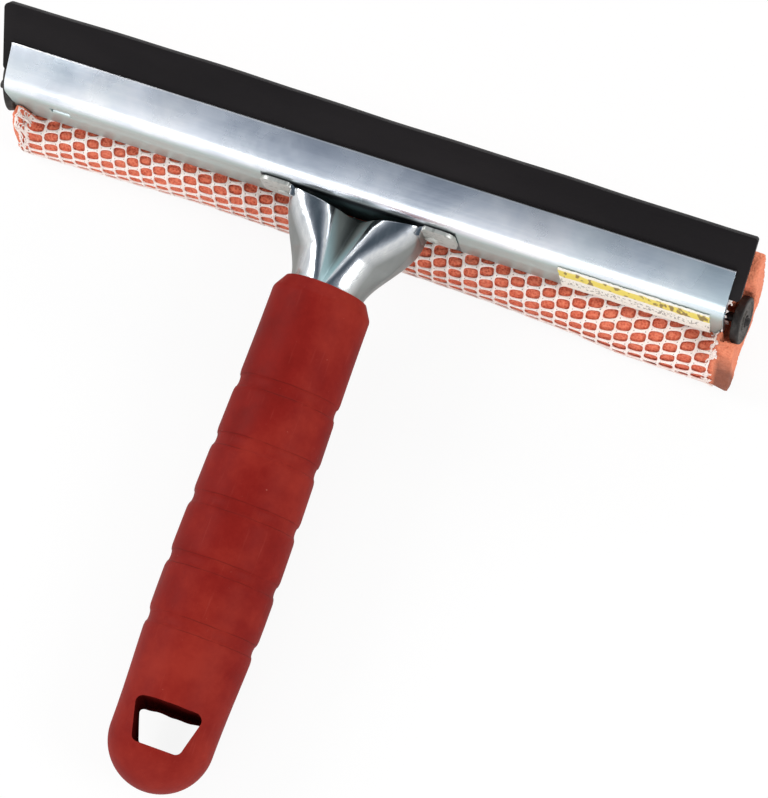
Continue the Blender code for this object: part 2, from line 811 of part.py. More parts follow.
def grip_radius(depth):
    """The grip's outline between its shoulder and its round end."""
    end = GRIP_LENGTH - GRIP_END_RADIUS
    if depth < GRIP_BELLY:
        share = (depth - GRIP_SHOULDER) / (GRIP_BELLY - GRIP_SHOULDER)
        thin = GRIP_SHOULDER_RADIUS
    else:
        share = (end - depth) / (end - GRIP_BELLY)
        thin = GRIP_END_RADIUS
    return thin + (GRIP_BELLY_RADIUS - thin) * (1 - cos(pi * share)) / 2


def grip_profile():
    bore_end = -TUBE_IN_GRIP - BORE_CLEARANCE
    profile = [(0, bore_end), (GRIP_BORE, bore_end), (GRIP_BORE, 0)]
    for step in range(6):
        angle = pi / 2 * step / 5
        radius = GRIP_MOUTH_RADIUS + (GRIP_SHOULDER_RADIUS - GRIP_MOUTH_RADIUS) * sin(angle)
        profile.append((radius, -GRIP_SHOULDER * (1 - cos(angle))))
    first = GROOVE_FIRST - GROOVE_PITCH / 2
    for depth in ((GRIP_SHOULDER + first) / 2, first):
        profile.append((grip_radius(depth), -depth))
    for groove in range(GROOVE_COUNT):
        middle = GROOVE_FIRST + groove * GROOVE_PITCH
        for offset, sunk in ((-0.5, 0), (-0.5, 1), (0.5, 1), (0.5, 0)):
            inward = -copysign(GROOVE_SLOPE, offset) * sunk
            depth = middle + offset * GROOVE_WIDTH + inward
            profile.append((grip_radius(depth) - GROOVE_DEPTH * sunk, -depth))
        between = middle + GROOVE_PITCH / 2
        profile.append((grip_radius(between), -between))
    ball = GRIP_LENGTH - GRIP_END_RADIUS
    last = (GROOVE_LAST + GROOVE_PITCH / 2 + ball) / 2
    profile.append((grip_radius(last), -last))
    for step in range(11):
        angle = pi / 2 * step / 10
        radius = GRIP_END_RADIUS * cos(angle) if step < 10 else 0
        profile.append((radius, -ball - GRIP_END_RADIUS * sin(angle)))
    return profile


def build_grip():
    turn = Matrix.Rotation(GRIP_TURN, 3, "Y")
    mouth = (0, -GRIP_MOUTH, 0)
    upright = turn @ Matrix.Rotation(-pi / 2, 3, "X")
    grip = turned("grip", grip_profile(), GRIP_SIDES, mouth, upright)
    half_top = HOLE_TOP_WIDTH / 2
    half_end = HOLE_END_WIDTH / 2
    outline = rounded(
        [
            (-half_top, -HOLE_TOP, HOLE_CORNER),
            (-half_end, -HOLE_TOP - HOLE_HEIGHT, HOLE_CORNER),
            (half_end, -HOLE_TOP - HOLE_HEIGHT, HOLE_CORNER),
            (half_top, -HOLE_TOP, HOLE_CORNER),
        ]
    )
    depth = 3 * GRIP_BELLY_RADIUS
    cut(grip, drawn("hang_hole_cut", outline, depth, place=mouth, turn=turn))
    coat(grip, *GRIP_PLASTIC)


def build_label():
    size = (LABEL_LENGTH, LABEL_THICKNESS, LABEL_WIDTH)
    centre = (
        LABEL_RIGHT - LABEL_LENGTH / 2,
        -SEAT_GAP - LABEL_THICKNESS / 2,
        LABEL_FRONT - LABEL_WIDTH / 2,
    )
    coat(box("label", size, centre), *PAPER)


def lay_down():
    """Tilt the tool, and set its lowest point on the floor under the middle of its box."""
    root.rotation_euler = (REST_TILT, 0, 0)
    bpy.context.view_layer.update()
    depsgraph = bpy.context.evaluated_depsgraph_get()
    spots = []
    for piece in parts.objects:
        if piece.type == "MESH":
            evaluated = piece.evaluated_get(depsgraph)
            spots += [evaluated.matrix_world @ v.co for v in evaluated.to_mesh().vertices]
    low = [min(spot[axis] for spot in spots) for axis in range(3)]
    high = [max(spot[axis] for spot in spots) for axis in range(3)]
    root.location = (-(low[0] + high[0]) / 2, -(low[1] + high[1]) / 2, -low[2])
    bpy.context.view_layer.update()


clear_scene()
parts = new_collection("window_squeegee")
cutters = new_collection("cutters")
root = new_root(parts)
REST_TILT, REST_LEVEL = rest_line()
PLATE_SIDE = 1
build_front_plate()
build_back_plate()
build_blade()
build_neck()
build_rivet("neck_rivet_left", -1)
build_rivet("neck_rivet_right", 1)
build_rod()
build_washer("end_washer_left", -1, Matrix.Rotation(WASHER_TILT_LEFT, 3, "Z"))
build_washer("end_washer_right", 1, Matrix.Rotation(-WASHER_TILT_RIGHT, 3, "Y"))
build_sponge()
build_net()
build_grip()
build_label()
lay_down()
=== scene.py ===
"""The looks of the window squeegee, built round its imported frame.

Every new piece is drawn in the head's frame, as in the model: X along the head, Y away from
the grip on the grip's axis, Z to the side that the blade leans to, in metres.
"""
from bisect import bisect_right
from functools import cache
from math import acos, atan2, ceil, copysign, cos, exp, floor, hypot, log, pi, radians, sin, tan
from random import Random

import bmesh
import bpy
from mathutils import Matrix, Vector, kdtree, noise


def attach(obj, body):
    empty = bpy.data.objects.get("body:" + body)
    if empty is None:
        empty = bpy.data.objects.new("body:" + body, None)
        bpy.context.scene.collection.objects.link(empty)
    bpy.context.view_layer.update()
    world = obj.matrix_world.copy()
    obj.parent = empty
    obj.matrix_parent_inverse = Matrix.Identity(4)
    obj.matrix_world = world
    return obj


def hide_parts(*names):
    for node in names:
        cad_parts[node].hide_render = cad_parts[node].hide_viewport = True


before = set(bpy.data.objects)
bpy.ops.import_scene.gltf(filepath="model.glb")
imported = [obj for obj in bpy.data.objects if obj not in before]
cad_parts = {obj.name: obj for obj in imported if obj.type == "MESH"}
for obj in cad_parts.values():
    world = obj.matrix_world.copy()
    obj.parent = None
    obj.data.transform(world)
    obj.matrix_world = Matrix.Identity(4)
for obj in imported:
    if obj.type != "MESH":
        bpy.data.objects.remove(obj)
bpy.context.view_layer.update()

# The head's frame in the world
REST_TILT = 0.0811294
HEAD_ORIGIN = (0, 0.0687129, 0.0257103)
HEAD = Matrix.Translation(HEAD_ORIGIN) @ Matrix.Rotation(REST_TILT, 4, "X")
REST_LEVEL = -HEAD_ORIGIN[2]

# Camera, in the head's frame
CAMERA_PLACE = (0.1579, -0.16049, 0.75813)
CAMERA_TARGET = (0.02233, -0.04477, 0)
CAMERA_ROLL = radians(19.867)
CAMERA_LENS = 142.99
CAMERA_SHIFT = 0.0026
SENSOR_WIDTH = 36

# Plates
SEAT_GAP = 0.0003
SHEET = 0.0008
PLATE_END = 0.0985
LEAN = radians(28)
BASE_FRONT = 0.0105
BASE_REAR = 0.0093
UPPER_FLAT = 0.0126
FRONT_BEND = 0.0058
BACK_PLATE_HEIGHT = 0.011
FLANGE_REAR = 0.0085
BACK_BEND = 0.0018
FLANGE_TOP = 2 * SHEET + SEAT_GAP
EDGE_BREAK = 0.00012
TOP_EDGE_BREAK = 0.00036

# Lanced tongues of the front plate
TONGUE_X = 0.0838
TONGUE_WIDTH = 0.0051
WINDOW_FRONT = 0.0046
WINDOW_LENGTH = 0.0026
TONGUE_BEND = 0.001

# Hooks of the back plate
HOOK_XS = (-0.07, -0.035, 0.035, 0.07)
HOOK_WIDTH = 0.006
HOOK_BEND = 0.0012
HOOK_REACH = 0.0034

# Blade, with the radii of its corners and the waves of its free edge as (length, height, shift)
BLADE_THICKNESS = 0.003
BLADE_FOOT = 0.0048
BLADE_TOP = 0.0228
BLADE_LEFT = 0.1033
BLADE_LEFT_FOOT = 0.0999
BLADE_RIGHT = 0.1013
BLADE_FOOT_CORNERS = (0.0012, 0.001)
BLADE_TOP_CORNERS = (0.0014, 0.0008)
BLADE_WAVES = ((0.36, 0.0004, 0.2), (0.083, 0.00012, 1.4), (0.031, 0.00005, 0.6))
BLADE_DROP = 0.0005
BLADE_EDGE_STEP = 0.002
BLADE_SAG = 0.0006
BLADE_SAG_FROM = 0.06
BLADE_BACK = SHEET + SEAT_GAP + BLADE_THICKNESS
BACK_PLATE_BACK = BLADE_BACK + SEAT_GAP + SHEET

# Rod and end washers; the hub's steps go out from the bore and the rim's steps in from the
# edge, each with its depth below the face
ROD_RADIUS = 0.0012
ROD_Y = 0.0044
ROD_Z = -0.0045
ROD_END = 0.104368
ROD_TIP_EDGE = 0.0005
ROD_SIDES = 32
WASHER_XS = {-1: -0.101218, 1: 0.1021}
WASHER_RADIUS = 0.0063
WASHER_THICKNESS = 0.0023
WASHER_BORE = 0.00155
WASHER_HUB = ((0, 0.0002), (0.0002, 0), (0.0011, 0), (0.0014, 0.0003))
WASHER_RIM = ((0.0013, 0.0003), (0.001, 0))
WASHER_LIP = 0.00045
WASHER_SIDES = 64
WASHER_TILT_LEFT = radians(19)
WASHER_TILT_RIGHT = radians(8)

# Neck
GRIP_MOUTH = 0.023
NECK_SHEET = 0.001
TUBE_RADIUS = 0.0099
TUBE_IN_GRIP = 0.045
NECK_HALF_WIDTH = 0.0178
NECK_HALF_DEPTH = 0.0094
NECK_PAST_MOUTH = 0.001
NECK_EDGE = 0.0002
NECK_RINGS = 44
NECK_STATIONS = 40
NECK_WALL = 150
RIM_DROP = 0.0006
RIM_DIP = 0.0018
RIM_REACH = 0.004
RIM_SQUARENESS = 9
REAR_BAND = 0.001
FLARE_HASTE = 1.1
FLARE_EASE = 0.9
CREASE_DEPTH = 0.0113
CREASE_HALF_RIM = 0.0066
CREASE_HALF_MOUTH = 0.0014
CREASE_END = 1.75
CREASE_ROUND = 0.05
FOLD_SOFTNESS = 0.2
# How steeply the flutes slant back to the flanks, from which share of their width on at the
# rim and further down, how softly, how far down that is and how fast it comes; and the least
# share of the depth that is left
SLANT = 1.35
SLANT_FROM = (1.12, 0.44)
SLANT_SOFTNESS = 0.0019
SLANT_REACH = 0.013
SLANT_EASE = 0.8
SLANT_HASTE = 2.5
SLANT_LEAST = 0.1
# Sideways, at the rim and at the grip
NECK_LEAN = (0.0005, -0.001)

# Tabs and rivets; a rivet's dimple in shares of the head's radius and height
TAB_REACH = 0.0267
TAB_FRONT = 0.0092
TAB_REAR = 0.0036
TAB_CORNER = 0.003
TAB_BEND = 0.0014
TAB_ROOT = 0.003
TAB_SLIT = 0.0006
TAB_SHOULDER = 0.0014
RIVET_X = 0.0203
RIVET_RADIUS = 0.0013
RIVET_HEAD_RADIUS = 0.0019
RIVET_HEAD_HEIGHT = 0.0005
RIVET_DIMPLE = ((0, 0.6), (0.35, 0.65))
RIVET_FLAT = 0.55
RIVET_SIDES = 40

# Grip, with its mouth's slope and the hang hole's draft at its two faces
GRIP_LENGTH = 0.1355
GRIP_END_RADIUS = 0.0136
GRIP_BORE = 0.0102
GRIP_MOUTH_RADIUS = 0.0111
GRIP_MOUTH_CORNER = 0.0003
GRIP_SHOULDER_RADIUS = 0.0133
GRIP_SHOULDER = 0.0036
GRIP_SHOULDER_CORNER = 0.0022
GRIP_BELLY_RADIUS = 0.01465
GRIP_BELLY = 0.085
GRIP_TURN = radians(6)
GRIP_STEP = 0.0004
GRIP_SIDES = 120
GRIP_END_STEPS = 24
MOUTH_SLOPE = 0.035
MOUTH_SLOPE_REACH = 0.012
GROOVE_COUNT = 5
GROOVE_FIRST = 0.0294
GROOVE_PITCH = 0.016
GROOVE_WIDTH = 0.0034
GROOVE_STEP = 0.0002
GROOVE_SLOPE = 0.0003
DIP_WIDTH = 0.0066
DIP_DEPTH = 0.0004
HOLE_TOP = 0.113
HOLE_HEIGHT = 0.0115
HOLE_TOP_WIDTH = 0.0184
HOLE_END_WIDTH = 0.0125
HOLE_CORNER = 0.0018
HOLE_EDGE = 0.0009
HOLE_STEP = 0.0004
HOLE_DRAFT = 0.0008
HOLE_DRAFT_REAR = 0.0031
HOLE_DRAFT_SIDE = 0.0004
HOLE_WAVE = 0.0009
HOLE_WAVES = 210
HOLE_WALL_TILT = 0.6

# Label, with its torn edge and its lifted spots as (depth, waves a metre)
LABEL_LEFT = 0.0548
LABEL_LENGTH = 0.0405
LABEL_REAR = 0.0091
LABEL_THICKNESS = 0.00022
LABEL_CLIMB = radians(20)
LABEL_COLUMNS = 90
LABEL_ROWS = 24
LABEL_FRAY = 0.00012
LABEL_TEAR = (0.0003, 300)
LABEL_LIFT = (0.00012, 400)


class Level:
    """A value in a node tree, which plain arithmetic builds on."""

    def __init__(self, nodes, socket):
        self.nodes = nodes
        self.socket = socket

    def __add__(self, other):
        return self.nodes.math("ADD", self, other)

    def __sub__(self, other):
        return self.nodes.math("SUBTRACT", self, other)

    def __rsub__(self, other):
        return self.nodes.math("SUBTRACT", other, self)

    def __mul__(self, other):
        return self.nodes.math("MULTIPLY", self, other)

    def __truediv__(self, other):
        return self.nodes.math("DIVIDE", self, other)

    def __abs__(self):
        return self.nodes.math("ABSOLUTE", self)

    def past(self, start, steepness):
        """0 up to a start, then up to 1."""
        return self.nodes.math("MULTIPLY", self - start, steepness, clamp=True)

    def before(self, end, steepness):
        """1 that falls to 0 at an end."""
        return self.nodes.math("MULTIPLY", end - self, steepness, clamp=True)


class Nodes:
    """A node tree, put together node by node."""

    def __init__(self, tree):
        self.tree = tree

    def node(self, kind, **settings):
        made = self.tree.nodes.new("ShaderNode" + kind)
        for name, value in settings.items():
            setattr(made, name, value)
        return made

    def feed(self, socket, value):
        value = getattr(value, "socket", value)
        if isinstance(value, bpy.types.NodeSocket):
            self.tree.links.new(value, socket)
        else:
            socket.default_value = value

    def math(self, operation, *values, clamp=False):
        made = self.node("Math", operation=operation, use_clamp=clamp)
        for socket, value in zip(made.inputs, values):
            self.feed(socket, value)
        return Level(self, made.outputs[0])

    def axes(self, source):
        split = self.node("SeparateXYZ")
        self.feed(split.inputs[0], source)
        return [Level(self, output) for output in split.outputs]

    def ramp(self, source, *stops):
        """Colours or levels between stops of (place, colour or level)."""
        made = self.node("ValToRGB")
        self.feed(made.inputs[0], source)
        points = made.color_ramp.elements
        while len(points) < len(stops):
            points.new(0.5)
        for point, (place, colour) in zip(points, stops):
            level = not hasattr(colour, "__len__")
            point.position = place
            point.color = (colour, colour, colour, 1) if level else (*colour, 1)
        return Level(self, made.outputs[0])

    def mix(self, share, first, second):
        made = self.node("Mix", data_type="RGBA")
        self.feed(made.inputs["Factor"], share)
        colours = [socket for socket in made.inputs if socket.type == "RGBA"]
        for socket, value in zip(colours, (first, second)):
            self.feed(socket, (*value, 1) if isinstance(value, tuple) else value)
        return Level(self, next(socket for socket in made.outputs if socket.type == "RGBA"))

    def rays(self):
        """Whether a thing is seen by the camera, and whether it is seen mirrored."""
        seen = self.node("LightPath").outputs
        mirrored = self.math("MAXIMUM", seen["Is Glossy Ray"], seen["Is Transmission Ray"])
        return Level(self, seen["Is Camera Ray"]), mirrored


class Finish(Nodes):
    """A material, put together round its shader, in the head's frame."""

    def __init__(self, name, **values):
        self.material = bpy.data.materials.new(name)
        self.material.use_nodes = True
        super().__init__(self.material.node_tree)
        self.shader = self.tree.nodes["Principled BSDF"]
        for socket, value in values.items():
            self.shader.inputs[socket.replace("_", " ")].default_value = value
        to_head = HEAD.inverted()
        mapping = self.node("Mapping", vector_type="POINT")
        mapping.inputs["Location"].default_value = to_head.translation
        mapping.inputs["Rotation"].default_value = to_head.to_euler()
        self.feed(mapping.inputs["Vector"], self.node("TexCoord").outputs["Object"])
        self.place = mapping.outputs[0]

    def noise(self, scale, detail=3, rough=0.55, stretch=None, warp=0):
        place = self.place
        if stretch:
            mapping = self.node("Mapping")
            self.feed(mapping.inputs["Vector"], place)
            mapping.inputs["Scale"].default_value = stretch
            place = mapping.outputs[0]
        made = self.node("TexNoise")
        self.feed(made.inputs["Vector"], place)
        made.inputs["Scale"].default_value = scale
        made.inputs["Detail"].default_value = detail
        made.inputs["Roughness"].default_value = rough
        made.inputs["Distortion"].default_value = warp
        return Level(self, made.outputs[0])

    def waver(self, scale, amount, detail=3):
        """Noise round 0."""
        return (self.noise(scale, detail) - 0.5) * amount

    def cells(self, scale):
        made = self.node("TexVoronoi")
        self.feed(made.inputs["Vector"], self.place)
        made.inputs["Scale"].default_value = scale
        return Level(self, made.outputs["Distance"])

    def bump(self, height, distance, strength, under=None):
        made = self.node("Bump")
        self.feed(made.inputs["Height"], height)
        made.inputs["Distance"].default_value = distance
        made.inputs["Strength"].default_value = strength
        if under:
            self.feed(made.inputs["Normal"], under)
        return Level(self, made.outputs[0])

    def surface(self, colour, roughness, normal, metallic=0):
        for socket, value in (
            ("Base Color", colour), ("Roughness", roughness),
            ("Normal", normal), ("Metallic", metallic),
        ):
            self.feed(self.shader.inputs[socket], value)
        return self.material


cutters = []
# Turns a lathe's axis along the head
ALONG_HEAD = Matrix(((0, 0, 1), (1, 0, 0), (0, 1, 0)))


def clamped(share):
    return min(max(share, 0), 1)


def eased(share):
    return share * share * (3 - 2 * share)


def blend(start, end, share):
    return start + (end - start) * share


def between(x, stations):
    """The value at x, in straight steps between (place, value) stations."""
    for (low, start), (high, end) in zip(stations, stations[1:]):
        if x <= high:
            return blend(start, end, max(x - low, 0) / (high - low))
    return stations[-1][1]


def kept_over_0(value, softness):
    """A value that turns softly to 0 where it would sink below."""
    return softness * log(1 + exp(value / softness))


def circle(sides):
    angles = [2 * pi * side / sides for side in range(sides)]
    return [(cos(angle), sin(angle)) for angle in angles]


def quarter(steps):
    """Cosines and sines of a quarter turn."""
    angles = [pi / 2 * step / steps for step in range(steps + 1)]
    return [(round(cos(angle), 12), sin(angle)) for angle in angles]


def grain(*place, waves=1):
    """Noise between -1 and 1 at a place."""
    return noise.noise(Vector(place) * waves)


def rounded(corners, closed=True, step=radians(5)):
    """Points of an outline given as (x, y, radius) corners, each corner turned into an arc."""
    spots = [Vector(corner[:2]) for corner in corners]
    outline = []
    for index, (_, _, radius) in enumerate(corners):
        corner = spots[index]
        at_end = not closed and index in (0, len(corners) - 1)
        if at_end or not radius:
            outline.append(corner)
            continue
        to_before = (spots[index - 1] - corner).normalized()
        to_after = (spots[(index + 1) % len(spots)] - corner).normalized()
        half = to_before.angle(to_after) / 2
        centre = corner + (to_before + to_after).normalized() * radius / sin(half)
        reach = radius / tan(half)
        start = corner + to_before * reach - centre
        end = corner + to_after * reach - centre
        sweep = atan2(start.cross(end), start.dot(end))
        steps = max(2, ceil(abs(sweep) / step))
        for share in range(steps + 1):
            outline.append(centre + Matrix.Rotation(sweep * share / steps, 2) @ start)
    return outline


def strip_section(outer, inner):
    return [*rounded(outer, closed=False), *rounded(inner, closed=False)]


def on_lean(back, up):
    """A point (y, z) of the leaning plates, from the corner where the outer faces meet."""
    return (
        up * cos(LEAN) + back * sin(LEAN),
        BASE_FRONT + up * sin(LEAN) - back * cos(LEAN),
    )


def on_lean_at(back, y):
    return on_lean(back, (y - back * sin(LEAN)) / cos(LEAN))


def linked(name, data):
    """A new object in the scene."""
    made = bpy.data.objects.new(name, data)
    bpy.context.scene.collection.objects.link(made)
    return made


def drawn(name, bm, place=(0, 0, 0), turn=None):
    """An object from a mesh drawn in the head's frame."""
    mesh = bpy.data.meshes.new(name)
    bm.transform(HEAD @ Matrix.Translation(place) @ (turn or Matrix.Identity(3)).to_4x4())
    bm.to_mesh(mesh)
    bm.free()
    return linked(name, mesh)


def piece(name, bm, finish, nodes=(), place=(0, 0, 0), turn=None):
    """A piece of the tool that stands for the nodes named."""
    made = drawn(name, bm, place, turn)
    made.data.materials.append(finish)
    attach(made, "root")
    if nodes:
        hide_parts(*nodes)
    return made


def modify(made, kind, **settings):
    modifier = made.modifiers.new(kind.title(), kind)
    for name, value in settings.items():
        setattr(modifier, name, value)


def bevel(made, width, angle, segments=2):
    modify(made, "BEVEL", width=width, segments=segments, angle_limit=radians(angle))


def cut(made, bm, operation="DIFFERENCE", place=(0, 0, 0), turn=None):
    cutter = drawn("cutter", bm, place, turn)
    cutter.hide_render = True
    cutters.append(cutter)
    modify(made, "BOOLEAN", object=cutter, operation=operation, solver="EXACT")


def settle(made, angle=radians(32)):
    """Apply the modifiers, and shade the mesh smooth but for its sharp edges."""
    depsgraph = bpy.context.evaluated_depsgraph_get()
    mesh = bpy.data.meshes.new_from_object(made.evaluated_get(depsgraph))
    made.modifiers.clear()
    made.data = mesh
    mesh.shade_smooth()
    mesh.set_sharp_from_angle(angle=angle)
    while cutters:
        bpy.data.objects.remove(cutters.pop(), do_unlink=True)
    return made


def face_outward(bm):
    bmesh.ops.recalc_face_normals(bm, faces=bm.faces)


def face_rear_outward(bm):
    """Turn a skin that is open at its ends so that its rear faces the rear."""
    face_outward(bm)
    rearmost = min(bm.faces, key=lambda face: face.calc_center_median().z)
    if rearmost.normal.z > 0:
        bmesh.ops.reverse_faces(bm, faces=bm.faces)


def ring_faces(bm, rings, closed=True):
    """Quads between rings of equally many vertices."""
    for upper, lower in zip(rings, rings[1:]):
        for here in range(0 if closed else 1, len(upper)):
            bm.faces.new((upper[here - 1], upper[here], lower[here], lower[here - 1]))


def capped(bm, rings):
    """Quads between rings, and a face on the first and the last."""
    ring_faces(bm, rings)
    bm.faces.new(rings[0])
    bm.faces.new(list(reversed(rings[-1])))


def extruded(outline, low, high, axes):
    """An outline of (a, b) points, filled and extruded between two levels; axes names where
    the outline's two directions and the level go."""
    bm = bmesh.new()
    rings = []
    for level in (low, high):
        ring = []
        for point in outline:
            spot = dict(zip(axes, (*point, level)))
            ring.append(bm.verts.new((spot["x"], spot["y"], spot["z"])))
        rings.append(ring)
    capped(bm, rings)
    face_outward(bm)
    return bm


def box(size, centre):
    bm = bmesh.new()
    bmesh.ops.create_cube(bm, size=1)
    bmesh.ops.scale(bm, vec=size, verts=bm.verts)
    bmesh.ops.translate(bm, vec=centre, verts=bm.verts)
    return bm


def lathe(profile, sides):
    """A closed solid of revolution about Z: (radius, height) points, top to bottom."""
    bm = bmesh.new()
    rings = []
    for radius, height in profile:
        if radius:
            turned = [(radius * across, radius * along) for across, along in circle(sides)]
            rings.append([bm.verts.new((*spot, height)) for spot in turned])
        else:
            rings.append([bm.verts.new((0, 0, height))] * sides)
    if profile[0][0]:
        rings.append(rings[0])
    for upper, lower in zip(rings, rings[1:]):
        for side in range(sides):
            corners = (upper[side - 1], upper[side], lower[side], lower[side - 1])
            bm.faces.new(list(dict.fromkeys(corners)))
    face_outward(bm)
    return bm


def both_ways(profile):
    """A lathe's profile from its upper half."""
    return profile + [(radius, -height) for radius, height in reversed(profile)]


def bent_plate(name, node, face, level, height, bend, rear):
    """A sheet that leans with its front on a face, and bends to lie on a level."""
    section = strip_section(
        [(*on_lean(face, height), 0), (*on_lean_at(face, level), bend), (level, -rear, 0)],
        [
            (level + SHEET, -rear, 0),
            (*on_lean_at(face + SHEET, level + SHEET), bend - SHEET),
            (*on_lean(face + SHEET, height), 0),
        ],
    )
    bm = extruded(section, -PLATE_END, PLATE_END, "yzx")
    return piece(name, bm, zinc, [node])


def build_front_plate():
    shape = (0, 0, UPPER_FLAT, FRONT_BEND, BASE_REAR)
    plate = bent_plate("front_plate_steel", "front_plate", *shape)
    rear = WINDOW_FRONT - WINDOW_LENGTH
    bend = rounded(
        [
            (0, rear - 2 * TONGUE_BEND, 0),
            (0, rear, TONGUE_BEND),
            (FLANGE_TOP, rear, 0),
            (FLANGE_TOP, rear - SHEET, 0),
            (SHEET, rear - SHEET, TONGUE_BEND - SHEET),
            (SHEET, rear - 2 * TONGUE_BEND, 0),
        ],
        step=radians(15),
    )
    size = (TONGUE_WIDTH + 2 * SEAT_GAP, 4 * SHEET, WINDOW_LENGTH + TONGUE_BEND)
    for side in (-1, 1):
        cut(plate, box(size, (side * TONGUE_X, 0, WINDOW_FRONT - size[2] / 2)))
        low = side * TONGUE_X - TONGUE_WIDTH / 2
        cut(plate, extruded(bend, low, low + TONGUE_WIDTH, "yzx"), "UNION")
    bevel(plate, TOP_EDGE_BREAK, 40)
    settle(plate)


def build_back_plate():
    level = SHEET + SEAT_GAP
    shape = (BLADE_BACK + SEAT_GAP, level, BACK_PLATE_HEIGHT, BACK_BEND, FLANGE_REAR)
    plate = bent_plate("back_plate_steel", "back_plate", *shape)
    for side in (-1, 1):
        centre = (side * TONGUE_X, level, WINDOW_FRONT - WINDOW_LENGTH - SHEET / 2)
        size = (TONGUE_WIDTH + 2 * SEAT_GAP, 4 * SHEET, SHEET + 2 * SEAT_GAP)
        cut(plate, box(size, centre))
    back = ROD_Z - ROD_RADIUS - SEAT_GAP - SHEET
    top = ROD_Y + ROD_RADIUS + SEAT_GAP + SHEET
    blank = top - SHEET - SEAT_GAP + HOOK_REACH
    tip = back + SHEET + HOOK_REACH
    hook = rounded(
        [
            (level + SHEET / 4, back, 0),
            (top, back, HOOK_BEND),
            (top, tip, 0),
            (top - SHEET, tip, 0),
            (top - SHEET, back + SHEET, HOOK_BEND - SHEET),
            (level + SHEET / 4, back + SHEET, 0),
        ],
        step=radians(15),
    )
    for x in HOOK_XS:
        centre = (x, level, back + SHEET + blank / 2)
        cut(plate, box((HOOK_WIDTH + 2 * SEAT_GAP, 4 * SHEET, blank), centre))
        cut(plate, extruded(hook, x - HOOK_WIDTH / 2, x + HOOK_WIDTH / 2, "yzx"), "UNION")
    bevel(plate, EDGE_BREAK, 40)
    settle(plate)


def blade_edge(x):
    """The height of the blade's free edge."""
    low = BLADE_DROP
    for length, height, shift in BLADE_WAVES:
        low += height * sin(2 * pi * x / length + shift)
    sag = max(-x - BLADE_SAG_FROM, 0) / (BLADE_LEFT - BLADE_SAG_FROM)
    return BLADE_TOP - max(low, 0) - BLADE_SAG * sag * sag


def build_blade():
    steps = int((BLADE_LEFT + BLADE_RIGHT) / BLADE_EDGE_STEP)
    edge = [(BLADE_RIGHT - step * BLADE_EDGE_STEP, 0) for step in range(1, steps - 1)]
    edge.insert(0, (BLADE_RIGHT, BLADE_TOP_CORNERS[1]))
    edge.append((-BLADE_LEFT, BLADE_TOP_CORNERS[0]))
    outline = rounded(
        [
            (-BLADE_LEFT_FOOT, BLADE_FOOT, BLADE_FOOT_CORNERS[0]),
            (BLADE_RIGHT, BLADE_FOOT, BLADE_FOOT_CORNERS[1]),
            *[(x, blade_edge(x), corner) for x, corner in edge],
        ],
        step=radians(15),
    )
    half = BLADE_THICKNESS / 2
    bm = extruded(outline, -half, half, "xyz")
    place = (0, *on_lean(SHEET + SEAT_GAP + half, 0))
    turn = Matrix.Rotation(LEAN, 3, "X")
    blade = piece("blade_rubber", bm, rubber, ["rubber_blade"], place, turn)
    bevel(blade, EDGE_BREAK, 50)
    settle(blade)


def build_rod():
    profile = [(0, ROD_END)]
    for inward, down in ((1, 0), (0.3, 0.3), (0, 1)):
        profile.append((ROD_RADIUS - inward * ROD_TIP_EDGE, ROD_END - down * ROD_TIP_EDGE))
    bm = lathe(both_ways(profile), ROD_SIDES)
    place = (0, ROD_Y, ROD_Z)
    rod = piece("rod_wire", bm, black_wire, ["net_rod"], place, ALONG_HEAD)
    settle(rod, radians(50))


def build_washer(name, side, tilt):
    half = WASHER_THICKNESS / 2
    profile = [(WASHER_BORE + out, half - depth) for out, depth in WASHER_HUB]
    profile += [(WASHER_RADIUS - within, half - depth) for within, depth in WASHER_RIM]
    for level, out in quarter(4):
        profile.append((WASHER_RADIUS - WASHER_LIP * (1 - out), half - WASHER_LIP * (1 - level)))
    bm = lathe(both_ways(profile), WASHER_SIDES)
    place = (WASHER_XS[side], ROD_Y, ROD_Z)
    turn = tilt @ ALONG_HEAD
    node = name.replace("_rubber", "")
    settle(piece(name, bm, washer_rubber, [node], place, turn), radians(40))


def opening(drop):
    """How far the neck is opened at a distance below the base, and half its crease there."""
    opened = max((GRIP_MOUTH - drop) / (GRIP_MOUTH - RIM_DROP), 0)
    return opened, blend(CREASE_HALF_MOUTH, CREASE_HALF_RIM, opened)


def neck_ring(drop):
    """Points (x, z) round the neck, at a distance below the base."""
    opened, crease_half = opening(drop)
    flared = eased(min(opened * FLARE_HASTE, 1) ** FLARE_EASE)
    half_width = blend(TUBE_RADIUS, NECK_HALF_WIDTH, flared)
    half_depth = blend(TUBE_RADIUS, NECK_HALF_DEPTH, flared)
    square = blend(2, RIM_SQUARENESS, opened**2)
    ring = []
    for station in range(-NECK_STATIONS, NECK_STATIONS + 1):
        share = CREASE_END * station / NECK_STATIONS
        x = share * crease_half
        front = half_depth * (1 - (abs(x) / half_width) ** square) ** (1 / square)
        fall = kept_over_0(1 - hypot(share, CREASE_ROUND) + CREASE_ROUND, FOLD_SOFTNESS)
        ring.append((x, front - CREASE_DEPTH * opened * fall))
    edge = acos((CREASE_END * crease_half / half_width) ** (square / 2))
    for step in range(1, NECK_WALL):
        angle = edge - (pi + 2 * edge) * step / NECK_WALL
        x = copysign(abs(cos(angle)) ** (2 / square), cos(angle)) * half_width
        z = copysign(abs(sin(angle)) ** (2 / square), sin(angle)) * half_depth
        ring.append((x, z))
    return ring


def neck_lean(drop):
    """The neck's sideways shift at a distance below the base."""
    return blend(*NECK_LEAN, clamped(drop / GRIP_MOUTH))


